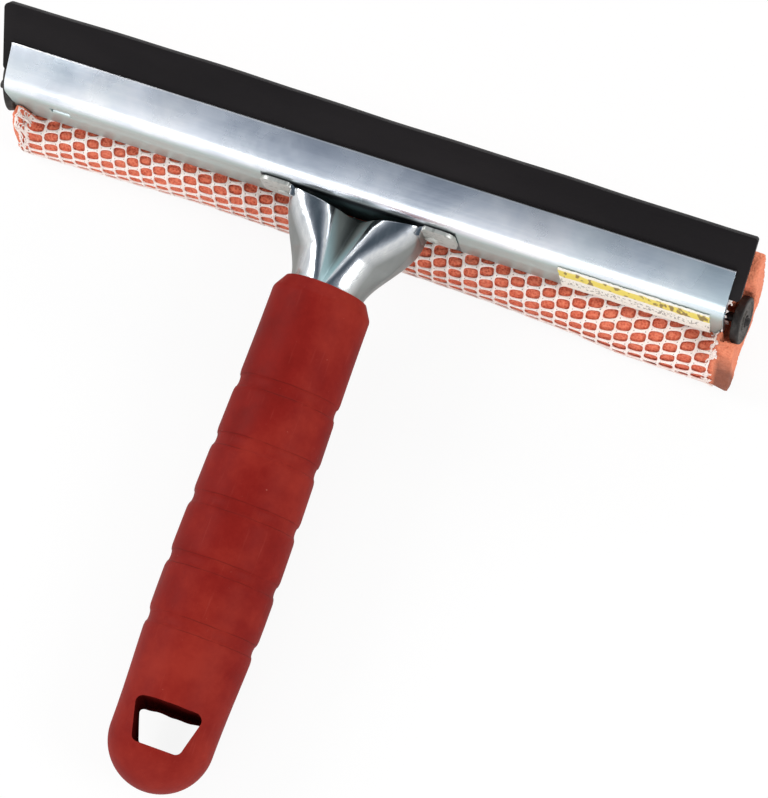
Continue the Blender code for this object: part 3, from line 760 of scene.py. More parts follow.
def slanted(x, drop, half_width):
    """The share of its depth that the neck's front keeps at a place across it."""
    opened, crease_half = opening(drop)
    down = clamped((drop - RIM_DROP) / SLANT_REACH)
    start = blend(crease_half, half_width, blend(*SLANT_FROM, down**SLANT_EASE))
    fall = kept_over_0(abs(x) - start, SLANT_SOFTNESS)
    return max(1 - SLANT * min(1, opened * SLANT_HASTE) * fall / NECK_HALF_DEPTH, SLANT_LEAST)


def neck_spot(x, z, drop, half_width):
    """A point of the neck, which is slanted at its front and dips at its rim."""
    if z > 0:
        z *= slanted(x, drop, half_width)
    by_rim = max(0, 1 - (drop - RIM_DROP) / RIM_REACH)
    in_front = clamped((z + NECK_HALF_DEPTH - REAR_BAND) / RIM_REACH)
    dip = RIM_DIP * in_front * (1 - min(1, (x / NECK_HALF_WIDTH) ** 2))
    rise = (RIM_DROP - SEAT_GAP) * (1 - in_front)
    return (x + neck_lean(drop), (rise - dip) * by_rim - drop, z)


def build_neck():
    length = GRIP_MOUTH + NECK_PAST_MOUTH - RIM_DROP
    drops = [RIM_DROP + length * ring / NECK_RINGS for ring in range(NECK_RINGS + 1)]
    bm = bmesh.new()
    rings = []
    for drop in (*drops, GRIP_MOUTH + TUBE_IN_GRIP):
        section = neck_ring(drop)
        half_width = max(x for x, _ in section)
        rings.append([bm.verts.new(neck_spot(x, z, drop, half_width)) for x, z in section])
    ring_faces(bm, rings)
    face_rear_outward(bm)
    neck = piece("neck_formed_steel", bm, neck_steel, ["neck"])
    modify(neck, "SOLIDIFY", thickness=NECK_SHEET, offset=-1, use_even_offset=True)
    bevel(neck, NECK_EDGE, 50)
    settle(neck)
    build_tab("neck_tab_left", -1)
    build_tab("neck_tab_right", 1)


def build_tab(name, side):
    """A wing of the neck's sheet, bent out under the base, with two rounded corners."""
    wall = NECK_HALF_WIDTH
    under = -SEAT_GAP - NECK_SHEET
    section = strip_section(
        [
            (wall - NECK_SHEET, -TAB_ROOT, 0),
            (wall - NECK_SHEET, -SEAT_GAP, TAB_BEND),
            (TAB_REACH, -SEAT_GAP, 0),
        ],
        [(TAB_REACH, under, 0), (wall, under, TAB_BEND - NECK_SHEET), (wall, -TAB_ROOT, 0)],
    )
    slit = wall + TAB_SLIT
    front = TAB_FRONT - TAB_SHOULDER
    rear = -TAB_REAR + TAB_SHOULDER
    outline = rounded(
        [
            (0, rear, 0),
            (0, front, 0),
            (slit, front, TAB_SLIT),
            (slit, TAB_FRONT, TAB_SLIT),
            (TAB_REACH, TAB_FRONT, TAB_CORNER),
            (TAB_REACH, -TAB_REAR, TAB_CORNER),
            (slit, -TAB_REAR, TAB_SLIT),
            (slit, rear, TAB_SLIT),
        ],
    )

    def placed(points, low, high, axes):
        shift = neck_lean(0)
        return extruded([(side * x + shift, other) for x, other in points], low, high, axes)

    tab = piece(name, placed(section, -TAB_REAR, TAB_FRONT, "xyz"), neck_steel)
    cut(tab, placed(outline, -2 * TAB_ROOT, TAB_ROOT, "xzy"), "INTERSECT")
    bevel(tab, EDGE_BREAK, 40)
    settle(tab)


def build_rivet(name, side):
    top = NECK_SHEET + SEAT_GAP
    head = RIVET_HEAD_RADIUS
    profile = [(share * head, top + rise * RIVET_HEAD_HEIGHT) for share, rise in RIVET_DIMPLE]
    for rise, out in quarter(6):
        profile.append((head * blend(RIVET_FLAT, 1, out), top + RIVET_HEAD_HEIGHT * rise))
    profile += [(RIVET_RADIUS, top), (RIVET_RADIUS, -FLANGE_TOP), (0, -FLANGE_TOP)]
    down = Matrix(((1, 0, 0), (0, 0, -1), (0, 1, 0)))
    node = name.replace("_steel", "")
    place = (side * RIVET_X, 0, 0)
    settle(piece(name, lathe(profile, RIVET_SIDES), neck_steel, [node], place, down))


def grip_radius(depth):
    """The grip's outline between its shoulder and its round end."""
    end = GRIP_LENGTH - GRIP_END_RADIUS
    if depth < GRIP_BELLY:
        share = (depth - GRIP_SHOULDER) / (GRIP_BELLY - GRIP_SHOULDER)
        thin = GRIP_SHOULDER_RADIUS
    else:
        share = (end - depth) / (end - GRIP_BELLY)
        thin = GRIP_END_RADIUS
    return blend(thin, GRIP_BELLY_RADIUS, (1 - cos(pi * share)) / 2)


def groove_depth(depth):
    """How far a groove sinks the outline: a soft dip, and a shallow step inside it."""
    sunk = 0
    for groove in range(GROOVE_COUNT):
        off = abs(depth - GROOVE_FIRST - groove * GROOVE_PITCH)
        inside = clamped((GROOVE_WIDTH / 2 - off) / GROOVE_SLOPE)
        dip = (1 + cos(2 * pi * min(off / DIP_WIDTH, 0.5))) / 2
        sunk = max(sunk, DIP_DEPTH * dip + GROOVE_STEP * eased(inside))
    return sunk


def grip_profile():
    bore_end = -TUBE_IN_GRIP - SEAT_GAP
    mouth = rounded(
        [
            (GRIP_BORE, 0, 0),
            (GRIP_MOUTH_RADIUS, 0, GRIP_MOUTH_CORNER),
            (GRIP_SHOULDER_RADIUS, -GRIP_SHOULDER, GRIP_SHOULDER_CORNER),
            (GRIP_SHOULDER_RADIUS, -2 * GRIP_SHOULDER, 0),
        ],
        closed=False,
    )
    profile = [(0, bore_end), (GRIP_BORE, bore_end), *[tuple(point) for point in mouth[:-1]]]
    end = GRIP_LENGTH - GRIP_END_RADIUS
    steps = int((end - GRIP_SHOULDER) / GRIP_STEP)
    for step in range(1, steps):
        depth = blend(GRIP_SHOULDER, end, step / steps)
        if -depth < profile[-1][1]:
            profile.append((grip_radius(depth) - groove_depth(depth), -depth))
    for across, down in quarter(GRIP_END_STEPS):
        profile.append((GRIP_END_RADIUS * across, -end - GRIP_END_RADIUS * down))
    return profile


def hang_hole():
    """The hang hole's cutter: a trapezoid whose uneven top wall slopes to the rear."""
    low = -HOLE_TOP - HOLE_HEIGHT
    outline = rounded(
        [
            (-HOLE_TOP_WIDTH / 2, -HOLE_TOP, HOLE_CORNER),
            (-HOLE_END_WIDTH / 2, low, HOLE_CORNER),
            (HOLE_END_WIDTH / 2, low, HOLE_CORNER),
            (HOLE_TOP_WIDTH / 2, -HOLE_TOP, HOLE_CORNER),
        ]
    )
    deep = 1.5 * GRIP_END_RADIUS
    bm = bmesh.new()
    loops = ([], [])
    for here, there in zip(outline, outline[1:] + outline[:1]):
        steps = max(int((there - here).length / HOLE_STEP), 1)
        for step in range(steps):
            x, y = here.lerp(there, step / steps)
            up = (y - low) / HOLE_HEIGHT
            sunk = HOLE_DRAFT_REAR + HOLE_WAVE * grain(x * HOLE_WAVES, 3, 1)
            loops[0].append(bm.verts.new((x - HOLE_DRAFT_SIDE, y - up * sunk, -deep)))
            loops[1].append(bm.verts.new((x + HOLE_DRAFT_SIDE, y + up * HOLE_DRAFT, deep)))
    capped(bm, loops)
    face_outward(bm)
    return bm


def build_grip():
    turn = Matrix.Rotation(GRIP_TURN, 3, "Y")
    upright = turn @ Matrix.Rotation(-pi / 2, 3, "X")
    place = (neck_lean(GRIP_MOUTH), -GRIP_MOUTH, 0)
    bm = lathe(grip_profile(), GRIP_SIDES)
    for vertex in bm.verts:
        near = max(1 + vertex.co.z / MOUTH_SLOPE_REACH, 0)
        vertex.co.z += MOUTH_SLOPE * (GRIP_MOUTH_RADIUS - vertex.co.x) * near
    grip = piece("grip_moulded", bm, grip_plastic, ["grip"], place, upright)
    cut(grip, hang_hole(), place=place, turn=turn)
    bevel(grip, HOLE_EDGE, 35, segments=5)
    settle(grip)
    # The hang hole's walls get a copy of the plastic darkened with painted shade
    grip.data.materials.append(grip_hole_shade)
    to_grip = (HEAD @ Matrix.Translation(place) @ turn.to_4x4()).inverted()
    for face in grip.data.polygons:
        middle = to_grip @ face.center
        across = abs((to_grip.to_3x3() @ face.normal).z)
        in_hole = -HOLE_TOP - HOLE_HEIGHT - HOLE_EDGE < middle.y < HOLE_EDGE - HOLE_TOP
        inner = abs(middle.x) < HOLE_TOP_WIDTH / 2 + HOLE_EDGE
        if in_hole and inner and across < HOLE_WALL_TILT:
            face.material_index = 1


def build_label():
    """A thin worn sticker, stuck from the rear edge of the base up into the bend."""
    cuts = Random(5)
    bend_start = BASE_FRONT - FRONT_BEND / tan((pi / 2 + LEAN) / 2)
    climb = FRONT_BEND * LABEL_CLIMB
    width = climb + bend_start + LABEL_REAR
    bm = bmesh.new()

    def relief(along, across, depth, waves, layer):
        return depth * max(grain(along * waves, across * waves, layer), 0)

    def spot(row, column):
        along = LABEL_LENGTH * column / LABEL_COLUMNS
        across = width * row / LABEL_ROWS
        torn = abs(cuts.gauss(0, LABEL_FRAY)) + relief(along, across, *LABEL_TEAR, 2)
        if column in (0, LABEL_COLUMNS):
            along += torn if column == 0 else -torn
        if row in (0, LABEL_ROWS):
            across += torn if row == 0 else -2 * torn
        lift = SEAT_GAP + relief(along, across, *LABEL_LIFT, 9)
        if across >= climb:
            return (LABEL_LEFT + along, -lift, bend_start - (across - climb))
        angle = (climb - across) / FRONT_BEND
        y = FRONT_BEND * (1 - cos(angle)) - lift * cos(angle)
        return (LABEL_LEFT + along, y, bend_start + (FRONT_BEND + lift) * sin(angle))

    rings = []
    for row in range(LABEL_ROWS + 1):
        rings.append([bm.verts.new(spot(row, column)) for column in range(LABEL_COLUMNS + 1)])
    ring_faces(bm, rings, closed=False)
    face_outward(bm)
    label = piece("label_paper", bm, paper, ["label"])
    modify(label, "SOLIDIFY", thickness=LABEL_THICKNESS, offset=0)
    settle(label)


# The netted sponge: its reach to the left and right, and the corners of the net's section
NET_LEFT = 0.0943
NET_RIGHT = 0.0972
NET_THICKNESS = 0.0005
SPONGE_LEFT = 0.098
SPONGE_RIGHT = 0.1031
NET_SEAT = FLANGE_TOP + SEAT_GAP
PAD_FRONT_Z = -0.0102
PAD_BACK = 0.0262
PAD_TOP = 0.0198
PAD_TOP_REAR = 0.0183
PAD_DROP = 0.0124
PAD_SEAT_CORNER = 0.001
PAD_FRONT_CORNER = 0.0025
PAD_UNDER_CORNER = 0.0092
PAD_REAR_UNDER = 0.006
PAD_REAR_UPPER = 0.017

# Sponge, with its pores, its crumbling ends and its bulges in the net's openings; the depths
# are lengths and the waves are per metre. It can't reach in front of SPONGE_NOTCH_FRONT, so a
# washer's notch in it is open to the front.
SPONGE_GAP = 0.0002
SPONGE_SEAT = 0.007
SPONGE_NOTCH_CORNER = 0.0015
SPONGE_NOTCH_FRONT = 0.03
SPONGE_VOXEL = 0.00055
POCKET_GAP = 0.0006
POCKET_SIDES = 48
PORE_DEPTH = 0.00016
PORE_WAVES = 900
FINE_PORE_WAVES = 1900
FINE_PORES = 0.6
PORE_FLOOR = -0.5
CRUMB_DEPTH = 0.0006
CRUMB_WAVES = 330
END_ROUND = 0.0014
END_ROUND_STRENGTH = 318.18
SKIN_DEPTH = 0.004
BULGE_DEPTH = 0.0016
BULGE_MIDDLE = 0.55
BULGE_SHARES = (0.45, 0.38)
NET_BULGE = 0.0004

# How the netted sponge lies askew, by the place along the head: how far its underside is drawn
# up, and how far its lower part leans; its bare ends puff out to the front under the base, but
# little beside the plate's end
PAD_LIFT = (
    (-0.1006, 0.0040), (-0.05, 0.0055), (0, 0.0048), (0.035, 0.0042), (0.06, 0.0030),
    (0.073, 0.0017), (0.0966, 0.0014), (0.104, 0),
)
PAD_LEAN = (
    (-0.0945, -0.08), (-0.086, 0.17), (-0.07, 0.28), (-0.045, 0.3), (0.015, 0.2),
    (0.05, 0.15), (0.068, 0),
)
PUFF = 0.009
PUFF_START = -0.0008
PUFF_FULL = 0.0012
PUFF_REAR = -0.0048
PUFF_FRONT = 0.004
PUFF_HIGH = 0.0003
PUFF_MOST = 0.005
PUFF_LOW = 0.0115
PUFF_BY_PLATE = 0.3
PUFF_BY_PLATE_LOW = 0.0026
PUFF_BY_PLATE_FROM = PLATE_END + 0.0007
END_LEAN = 0.06
SQUASH_STEPS = 400
GIRTH_STEP = 0.0003

# Net as knitted, with the seams between its columns as (count from the left, place); the edge
# of one cell, in sixths of a column and quarters of a row; the openings' shares of a cell, and
# how each varies: size, shift along and round, skew; and the sway of the whole
NET_COLUMNS = 45
NET_PITCH = 0.0037
COLUMN_PLACES = (
    (0, -NET_LEFT), (9.5, -0.0582), (17.5, -0.0232), (26.5, 0.0173), (45, NET_RIGHT),
)
CELL = (
    (3, 0), (3, 1), (3, 2), (1, 2), (-1, 2), (-3, 2), (-3, 1),
    (-3, 0), (-3, -1), (-3, -2), (-1, -2), (1, -2), (3, -2), (3, -1),
)
CELL_RISE = 0.22
HOLE_SHARE_X = 0.45
HOLE_SHARE_ROUND = 0.385
HOLE_POWER = 4.2
HOLE_SIZES = (0.95, 1.03)
HOLE_SHIFTS = (0.00005, 0.00008)
HOLE_SKEWS = (0.5, 1.5)
SWAY_WAVES = 90
SWAY_ALONG = 0.00025
SWAY_ROUND = 0.0003
HOOK_CLEARANCE = 0.006
HOOK_DEPTH = 0.0012
HOOK_FRONT = 0.004

# Frayed ends of the net: stubs of the torn webs, threads that stick out of them, and loose
# threads that run round the end, which sway by (share, waves a metre, layer)
STUB_LENGTH = (0.0004, 0.0017)
STUB_RADIUS = 0.00034
STUB_TURN = 0.25
STUB_WANDER = 0.15
STUB_ROOT = 0.0003
THREAD_LENGTH = (0.0005, 0.0013)
THREAD_RADIUS = 0.00022
THREAD_SIDES = 6
THREAD_STEPS = 5
THREAD_TURN = 2.4
THREAD_WANDER = 0.6
THREAD_BACK = 0.0011
THREAD_SPREAD = 0.0003
CLUMP_THREADS = {-1: 4, 1: 16}
LOOSE_RADIUS = 0.0002
LOOSE_THREADS = {-1: 5, 1: 0}
LOOSE_STEPS = 150
LOOSE_PITCH = 0.00035
LOOSE_OUT = 0.0005
LOOSE_SWAY = 0.0011
LOOSE_WAVES = ((1, 500, 0), (0.7, 1400, 5))


def pad_corners(inset, seat, seat_corner):
    """Corners of the section round the sponge, drawn in from the outside of the net."""
    front = BACK_PLATE_BACK + SEAT_GAP + inset
    rear = -PAD_BACK + inset
    under = -PAD_DROP + inset
    return [
        (*on_lean_at(front, seat), PAD_SEAT_CORNER),
        (seat, PAD_FRONT_Z - inset, seat_corner),
        (under, PAD_FRONT_Z - inset, PAD_UNDER_CORNER - inset),
        (under, rear, PAD_REAR_UNDER - inset),
        (PAD_TOP_REAR - inset, rear, PAD_REAR_UPPER - inset),
        (*on_lean_at(front, PAD_TOP - inset), PAD_FRONT_CORNER - inset),
    ]


def lifted(point, level):
    """A section point, moved up to a level above the floor where it would lie below it."""
    up = Vector((sin(REST_TILT), cos(REST_TILT)))
    return point + up * max(level - point.dot(up), 0)


class Girth:
    """The closed outline round the net, walked by the distance along it.

    Its lower part is squashed by a share, as where the pad is drawn up.
    """

    def __init__(self, squashed=1.0):
        self.points = rounded(pad_corners(0, NET_SEAT, PAD_SEAT_CORNER), step=radians(3))
        for point in self.points:
            point.x *= squashed if point.x < 0 else 1
        self.reached = [0]
        for here, there in zip(self.points, self.points[1:] + self.points[:1]):
            self.reached.append(self.reached[-1] + (there - here).length)
        self.length = self.reached[-1]
        self.middle = sum(self.points, Vector((0, 0))) / len(self.points)

    def at(self, distance):
        distance %= self.length
        index = bisect_right(self.reached, distance, 1, len(self.points)) - 1
        start, end = self.reached[index:index + 2]
        share = (distance - start) / (end - start)
        return self.points[index].lerp(self.points[(index + 1) % len(self.points)], share)

    def spots(self, step):
        """Places along it, a step apart, as (distance, point)."""
        count = int(self.length / step)
        distances = [self.length * index / count for index in range(count)]
        return [(distance, self.at(distance)) for distance in distances]


GIRTH = Girth()
NET_ROWS = round(GIRTH.length / NET_PITCH)
ROW = GIRTH.length / NET_ROWS


def squash(x):
    """The share of its drop that the pad keeps at a place along the head."""
    return 1 - between(x, PAD_LIFT) / PAD_DROP


@cache
def squashed_girth(steps):
    return Girth(steps / SQUASH_STEPS)


def net_end(x):
    return NET_RIGHT if x > 0 else NET_LEFT


def puff(place, y, z):
    """How far a bare end of the sponge swells to the front."""
    out = clamped((abs(place) - net_end(place) - PUFF_START) / (PUFF_FULL - PUFF_START))
    if not -PUFF_LOW < y < -PUFF_HIGH:
        return 0
    if abs(place) > PUFF_BY_PLATE_FROM and y > -PUFF_BY_PLATE_LOW:
        out *= PUFF_BY_PLATE
    at_front = clamped((z - PAD_FRONT_Z - PUFF_REAR) / PUFF_FRONT)
    return PUFF * out * at_front * eased(min(1, (y + PUFF_LOW) / (PUFF_LOW - PUFF_MOST)))


def askew(x, y, z, squashed=False):
    """Where a point of the netted sponge lies, as its lower part is drawn up and leans."""
    place = x
    if y < 0:
        y *= 1 if squashed else squash(place)
        x -= between(place, PAD_LEAN) * y
    z += puff(place, y, z)
    if place > NET_RIGHT:
        x += END_LEAN * abs(y) * min((place - NET_RIGHT) / (SPONGE_RIGHT - NET_RIGHT), 1)
    return (x, y, z)


def cell_height(x, distance):
    """From 0 under a net strand to 1 in the middle of its opening."""
    counted = between(x, [(place, count) for count, place in COLUMN_PLACES])
    column = floor(counted)
    across = counted - column - 0.5
    down = distance / ROW - column % 2 / 2 + CELL_RISE * across
    down -= round(down)
    wide, high = BULGE_SHARES
    return max(0, 1 - (abs(across) / wide) ** 4 - (abs(down) / high) ** 4)


def build_sponge():
    inset = NET_THICKNESS + SPONGE_GAP
    corners = pad_corners(inset, SPONGE_SEAT, SPONGE_NOTCH_CORNER)
    outline = [lifted(point, REST_LEVEL + inset) for point in rounded(corners, step=radians(4))]
    bm = extruded(outline, -SPONGE_LEFT, SPONGE_RIGHT, "yzx")
    sponge = piece("sponge_foam", bm, foam, ["sponge"])
    depth = 2 * WASHER_RADIUS
    reach = WASHER_RADIUS + POCKET_GAP
    ahead = SPONGE_NOTCH_FRONT - ROD_Z
    for side, tilt in ((-1, WASHER_TILT_LEFT), (1, WASHER_TILT_RIGHT)):
        inner = abs(WASHER_XS[side]) - WASHER_THICKNESS / 2 - WASHER_RADIUS * sin(tilt)
        place = (side * (inner - 2 * SEAT_GAP + depth / 2), ROD_Y, ROD_Z)
        pocket = lathe(both_ways([(0, depth / 2), (reach, depth / 2)]), POCKET_SIDES)
        cut(sponge, pocket, place=place, turn=ALONG_HEAD)
        centre = (place[0], ROD_Y + reach / 2, ROD_Z + ahead / 2)
        cut(sponge, box((depth, reach, ahead), centre))
    modify(sponge, "REMESH", mode="VOXEL", voxel_size=SPONGE_VOXEL)
    settle(sponge, pi)
    roughen_sponge(sponge.data)


def roughen_sponge(mesh):
    """Pores all over, swells in the net's openings, and ends that round off and crumble."""
    spots = GIRTH.spots(GIRTH_STEP)
    tree = kdtree.KDTree(len(spots))
    for index, (_, point) in enumerate(spots):
        tree.insert((0, *point), index)
    tree.balance()
    moves = []
    mesh.transform(HEAD.inverted())
    for vertex in mesh.vertices:
        x, y, z = vertex.co
        _, index, off = tree.find((0, y, z))
        bare = abs(x) > net_end(x)
        pore = grain(x, y, z, waves=PORE_WAVES)
        pore += FINE_PORES * grain(x, y, z, waves=FINE_PORE_WAVES)
        move = -PORE_DEPTH * max(pore, PORE_FLOOR)
        if not bare and off < BULGE_DEPTH:
            move += NET_BULGE * (cell_height(x, spots[index][0]) - BULGE_MIDDLE)
        if bare:
            move -= CRUMB_DEPTH * max(grain(x, y, z, waves=CRUMB_WAVES), 0)
            round_off = max(END_ROUND - (SPONGE_RIGHT if x > 0 else SPONGE_LEFT) + abs(x), 0)
            near_skin = max(1 - off / SKIN_DEPTH, 0)
            move -= END_ROUND_STRENGTH * round_off * round_off * near_skin
        moves.append(vertex.normal * move)
    for vertex, move in zip(mesh.vertices, moves):
        x, y, z = askew(*(vertex.co + move))
        vertex.co = (x, *lifted(Vector((y, z)), REST_LEVEL + SPONGE_GAP))
    mesh.transform(HEAD)
    mesh.update()


def on_net(x, distance, inset=0):
    """A point of the net, by its place along the head and round the girth."""
    girth = squashed_girth(round(squash(x) * SQUASH_STEPS))
    distance *= girth.length / GIRTH.length
    here = girth.at(distance)
    if inset:
        ahead = girth.at(distance + GIRTH_STEP) - girth.at(distance - GIRTH_STEP)
        inward = Vector((-ahead.y, ahead.x)).normalized()
        if inward.dot(girth.middle - here) < 0:
            inward = -inward
        here = here + inward * inset
    x, y, z = askew(x, *here, squashed=True)
    return Vector((x, *lifted(Vector((y, z)), REST_LEVEL + inset)))


def over_hook(x, distance):
    """Whether a hook of the back plate passes through the net at a place."""
    seat = GIRTH.at(distance)
    at_seat = abs(seat.x - NET_SEAT) < HOOK_DEPTH and PAD_FRONT_Z < seat.y < HOOK_FRONT
    return at_seat and any(abs(x - hook) < HOOK_CLEARANCE for hook in HOOK_XS)


def build_net():
    chance = Random(11)
    bm = bmesh.new()
    knit = bm.verts.layers.float_vector.new("knit")
    shared = {}

    def knitted(x, distance, column, row):
        """A vertex of the net, which keeps its count of columns and rows."""
        spot = Vector((x * SWAY_WAVES, distance * SWAY_WAVES, 0))
        x += SWAY_ALONG * grain(*spot)
        distance += SWAY_ROUND * grain(*spot.xy, 7)
        made = bm.verts.new(on_net(x, distance))
        made[knit] = (column, row, 0)
        return made

    def boundary(sixth, quarters):
        quarters %= 4 * NET_ROWS
        key = (sixth, quarters)
        if key not in shared:
            x = between(sixth / 6, COLUMN_PLACES)
            shared[key] = knitted(x, quarters / 4 * ROW, sixth / 6, quarters / 4)
        return shared[key]

    def cell(column, row):
        middle_x = between(column + 0.5, COLUMN_PLACES)
        stagger = column % 2 / 2
        middle = (row + stagger) * ROW
        if over_hook(middle_x, middle):
            return
        width = between(column + 1, COLUMN_PLACES) - between(column, COLUMN_PLACES)
        half_x = HOLE_SHARE_X * width
        half_round = HOLE_SHARE_ROUND * ROW
        size = chance.uniform(*HOLE_SIZES)
        shift_x, shift_round = [chance.gauss(0, shift) for shift in HOLE_SHIFTS]
        skew = -chance.uniform(*HOLE_SKEWS) * CELL_RISE * ROW / (2 * half_x)
        ring = []
        hole = []
        for sixth, quarters in CELL:
            ring.append(boundary(6 * column + 3 + sixth, 4 * (row + stagger) + quarters))
            angle = atan2(quarters * half_round / 2, sixth * half_x / 3)
            reach = size * (
                abs(cos(angle) / half_x) ** HOLE_POWER
                + abs(sin(angle) / half_round) ** HOLE_POWER
            ) ** (-1 / HOLE_POWER)
            x = shift_x + reach * cos(angle)
            down = shift_round + reach * sin(angle) + skew * x
            counts = (column + 0.5 + x / half_x * HOLE_SHARE_X, row + stagger + down / ROW)
            hole.append(knitted(middle_x + x, middle + down, *counts))
        for here in range(len(CELL)):
            bm.faces.new((ring[here - 1], ring[here], hole[here], hole[here - 1]))

    for column in range(NET_COLUMNS):
        for row in range(NET_ROWS):
            cell(column, row)
    face_rear_outward(bm)
    net = piece("net_knitted", bm, yarn, ["net_sleeve"])
    modify(net, "SOLIDIFY", thickness=NET_THICKNESS, offset=-1)
    modify(net, "SUBSURF", levels=1, render_levels=1)
    settle(net, pi)
    fringes = [build_fringe("net_fringe_left", -1), build_fringe("net_fringe_right", 1)]


def thread(bm, points, radius):
    """A round thread through some points."""
    rings = []
    across = Vector((0.3, 0.5, 0.8))
    for before, point, after in zip([points[0], *points], points, [*points[1:], points[-1]]):
        ahead = (after - before).normalized()
        across = (across - ahead * across.dot(ahead)).normalized()
        other = ahead.cross(across)
        turned = [across * share + other * rest for share, rest in circle(THREAD_SIDES)]
        rings.append([bm.verts.new(point + direction * radius) for direction in turned])
    capped(bm, rings)


def build_fringe(name, side):
    """The frayed end of the net on one side."""
    chance = Random(23 + side)
    bm = bmesh.new()
    edge = net_end(side)
    beyond = -1 if side < 0 else NET_COLUMNS

    def strand(x, distance, length, turn, radius, wander):
        points = []
        for _ in range(THREAD_STEPS + 1):
            points.append(on_net(side * x, distance, inset=radius))
            turn += chance.gauss(0, wander)
            x += length / THREAD_STEPS * cos(turn)
            distance += length / THREAD_STEPS * sin(turn)
        thread(bm, points, radius)
        return x, distance

    for row in range(NET_ROWS):
        distance = (row + 0.5 + beyond % 2 / 2) * ROW
        length = chance.uniform(*STUB_LENGTH)
        turn = chance.gauss(0, STUB_TURN)
        x, distance = strand(edge - STUB_ROOT, distance, length, turn, STUB_RADIUS, STUB_WANDER)
        for _ in range(CLUMP_THREADS[side]):
            length = chance.uniform(*THREAD_LENGTH)
            start = (x - chance.uniform(0, THREAD_BACK), distance + chance.gauss(0, THREAD_SPREAD))
            turn = chance.uniform(-THREAD_TURN, THREAD_TURN)
            strand(*start, length, turn, THREAD_RADIUS, THREAD_WANDER)
    for loose in range(LOOSE_THREADS[side]):
        shift = chance.uniform(0, 9)
        points = []
        for step in range(LOOSE_STEPS):
            distance = GIRTH.length * step / LOOSE_STEPS
            sway = 0
            for share, waves, layer in LOOSE_WAVES:
                sway += share * grain(distance * waves, shift, layer)
            x = edge + LOOSE_PITCH * loose + LOOSE_OUT + LOOSE_SWAY * sway
            points.append(on_net(side * x, distance, inset=LOOSE_RADIUS * (1 + sway / 2)))
        thread(bm, points, LOOSE_RADIUS)
    face_outward(bm)
    return settle(piece(name, bm, yarn), pi)


# Behind this the painted shade under the plate turns from near black to a dark teal
DEEP_BEHIND = 0.006
# Where the neck's flanks turn greyer than its fronts with painted shade, and over what depth (its
# inverse)
FLANK_FRONT = 0.0078
FLANK_FADE = 330
# Where the sponge is bare, and where its right end is darkened with painted shade
FOAM_BARE_FROM = 0.0955
FOAM_SHADE_FROM = 0.0985
FOAM_SHADE_TOP = -0.0045
# Gaps at the web's ends, where shade is painted, in shares of a column and of a row
GAP_ACROSS = 0.135
GAP_HALF_ACROSS = 0.05
GAP_HALF_DOWN = 0.06
# Half the width of the painted shade lines at a groove's edges
GROOVE_SHADE_LINE = 1 / 7000


def zinc_finish():
    """Rolled zinc, dull under the base, with painted shade where the base sits over the neck and a
    painted highlight on its top edge.
    """
    f = Finish("zinc_plated_sheet")
    x, y, z = f.axes(f.place)
    rolled = f.noise(1, 4, 0.6, stretch=(12, 900, 900))
    cloud = f.noise(38, 4, 0.62, warp=0.4)
    teal = f.ramp(f.noise(14, 3, 0.5), (0.5, 0), (0.62, 0.55))
    under = y.before(0.0007, 1700)
    up = y * cos(LEAN) + (z - BASE_FRONT) * sin(LEAN)
    # The plate's top edge: bare cut steel, painted pure white as a highlight
    bare_edge_highlight = up.past(UPPER_FLAT - TOP_EDGE_BREAK - 0.0001, 8000)
    # Painted shade: near-black on the base's underside over the neck's open top, dark teal further
    # back
    over_neck = abs(x - NECK_LEAN[0]).before(TAB_REACH + 0.0002, 4000)
    painted_shade_over_neck = under * over_neck * z.before(TAB_FRONT - 0.0001, 3500)
    painted_shade_colour = f.mix(z.before(DEEP_BEHIND, 400), (0.012, 0.014, 0.018), (0.06, 0.10, 0.105))
    colour = f.ramp(
        cloud * 0.85 + rolled * 0.15,
        (0.34, (0.60, 0.65, 0.73)), (0.5, (0.80, 0.84, 0.90)), (0.66, (0.97, 0.98, 1)),
    )
    colour = f.mix(teal, colour, (0.60, 0.76, 0.80))
    colour = f.mix(under, colour, (0.44, 0.52, 0.50))
    colour = f.mix(bare_edge_highlight, colour, (1, 1, 1))
    colour = f.mix(painted_shade_over_neck, colour, painted_shade_colour)
    rough = f.ramp(f.noise(60, 4, 0.6), (0.3, 0.22), (0.75, 0.34)) + under * 0.12
    normal = f.bump(rolled, 0.00002, 0.5, f.bump(f.noise(160), 0.0001, 0.4))
    return f.surface(colour, rough, normal, (1 - under * 0.4) * (1 - painted_shade_over_neck))


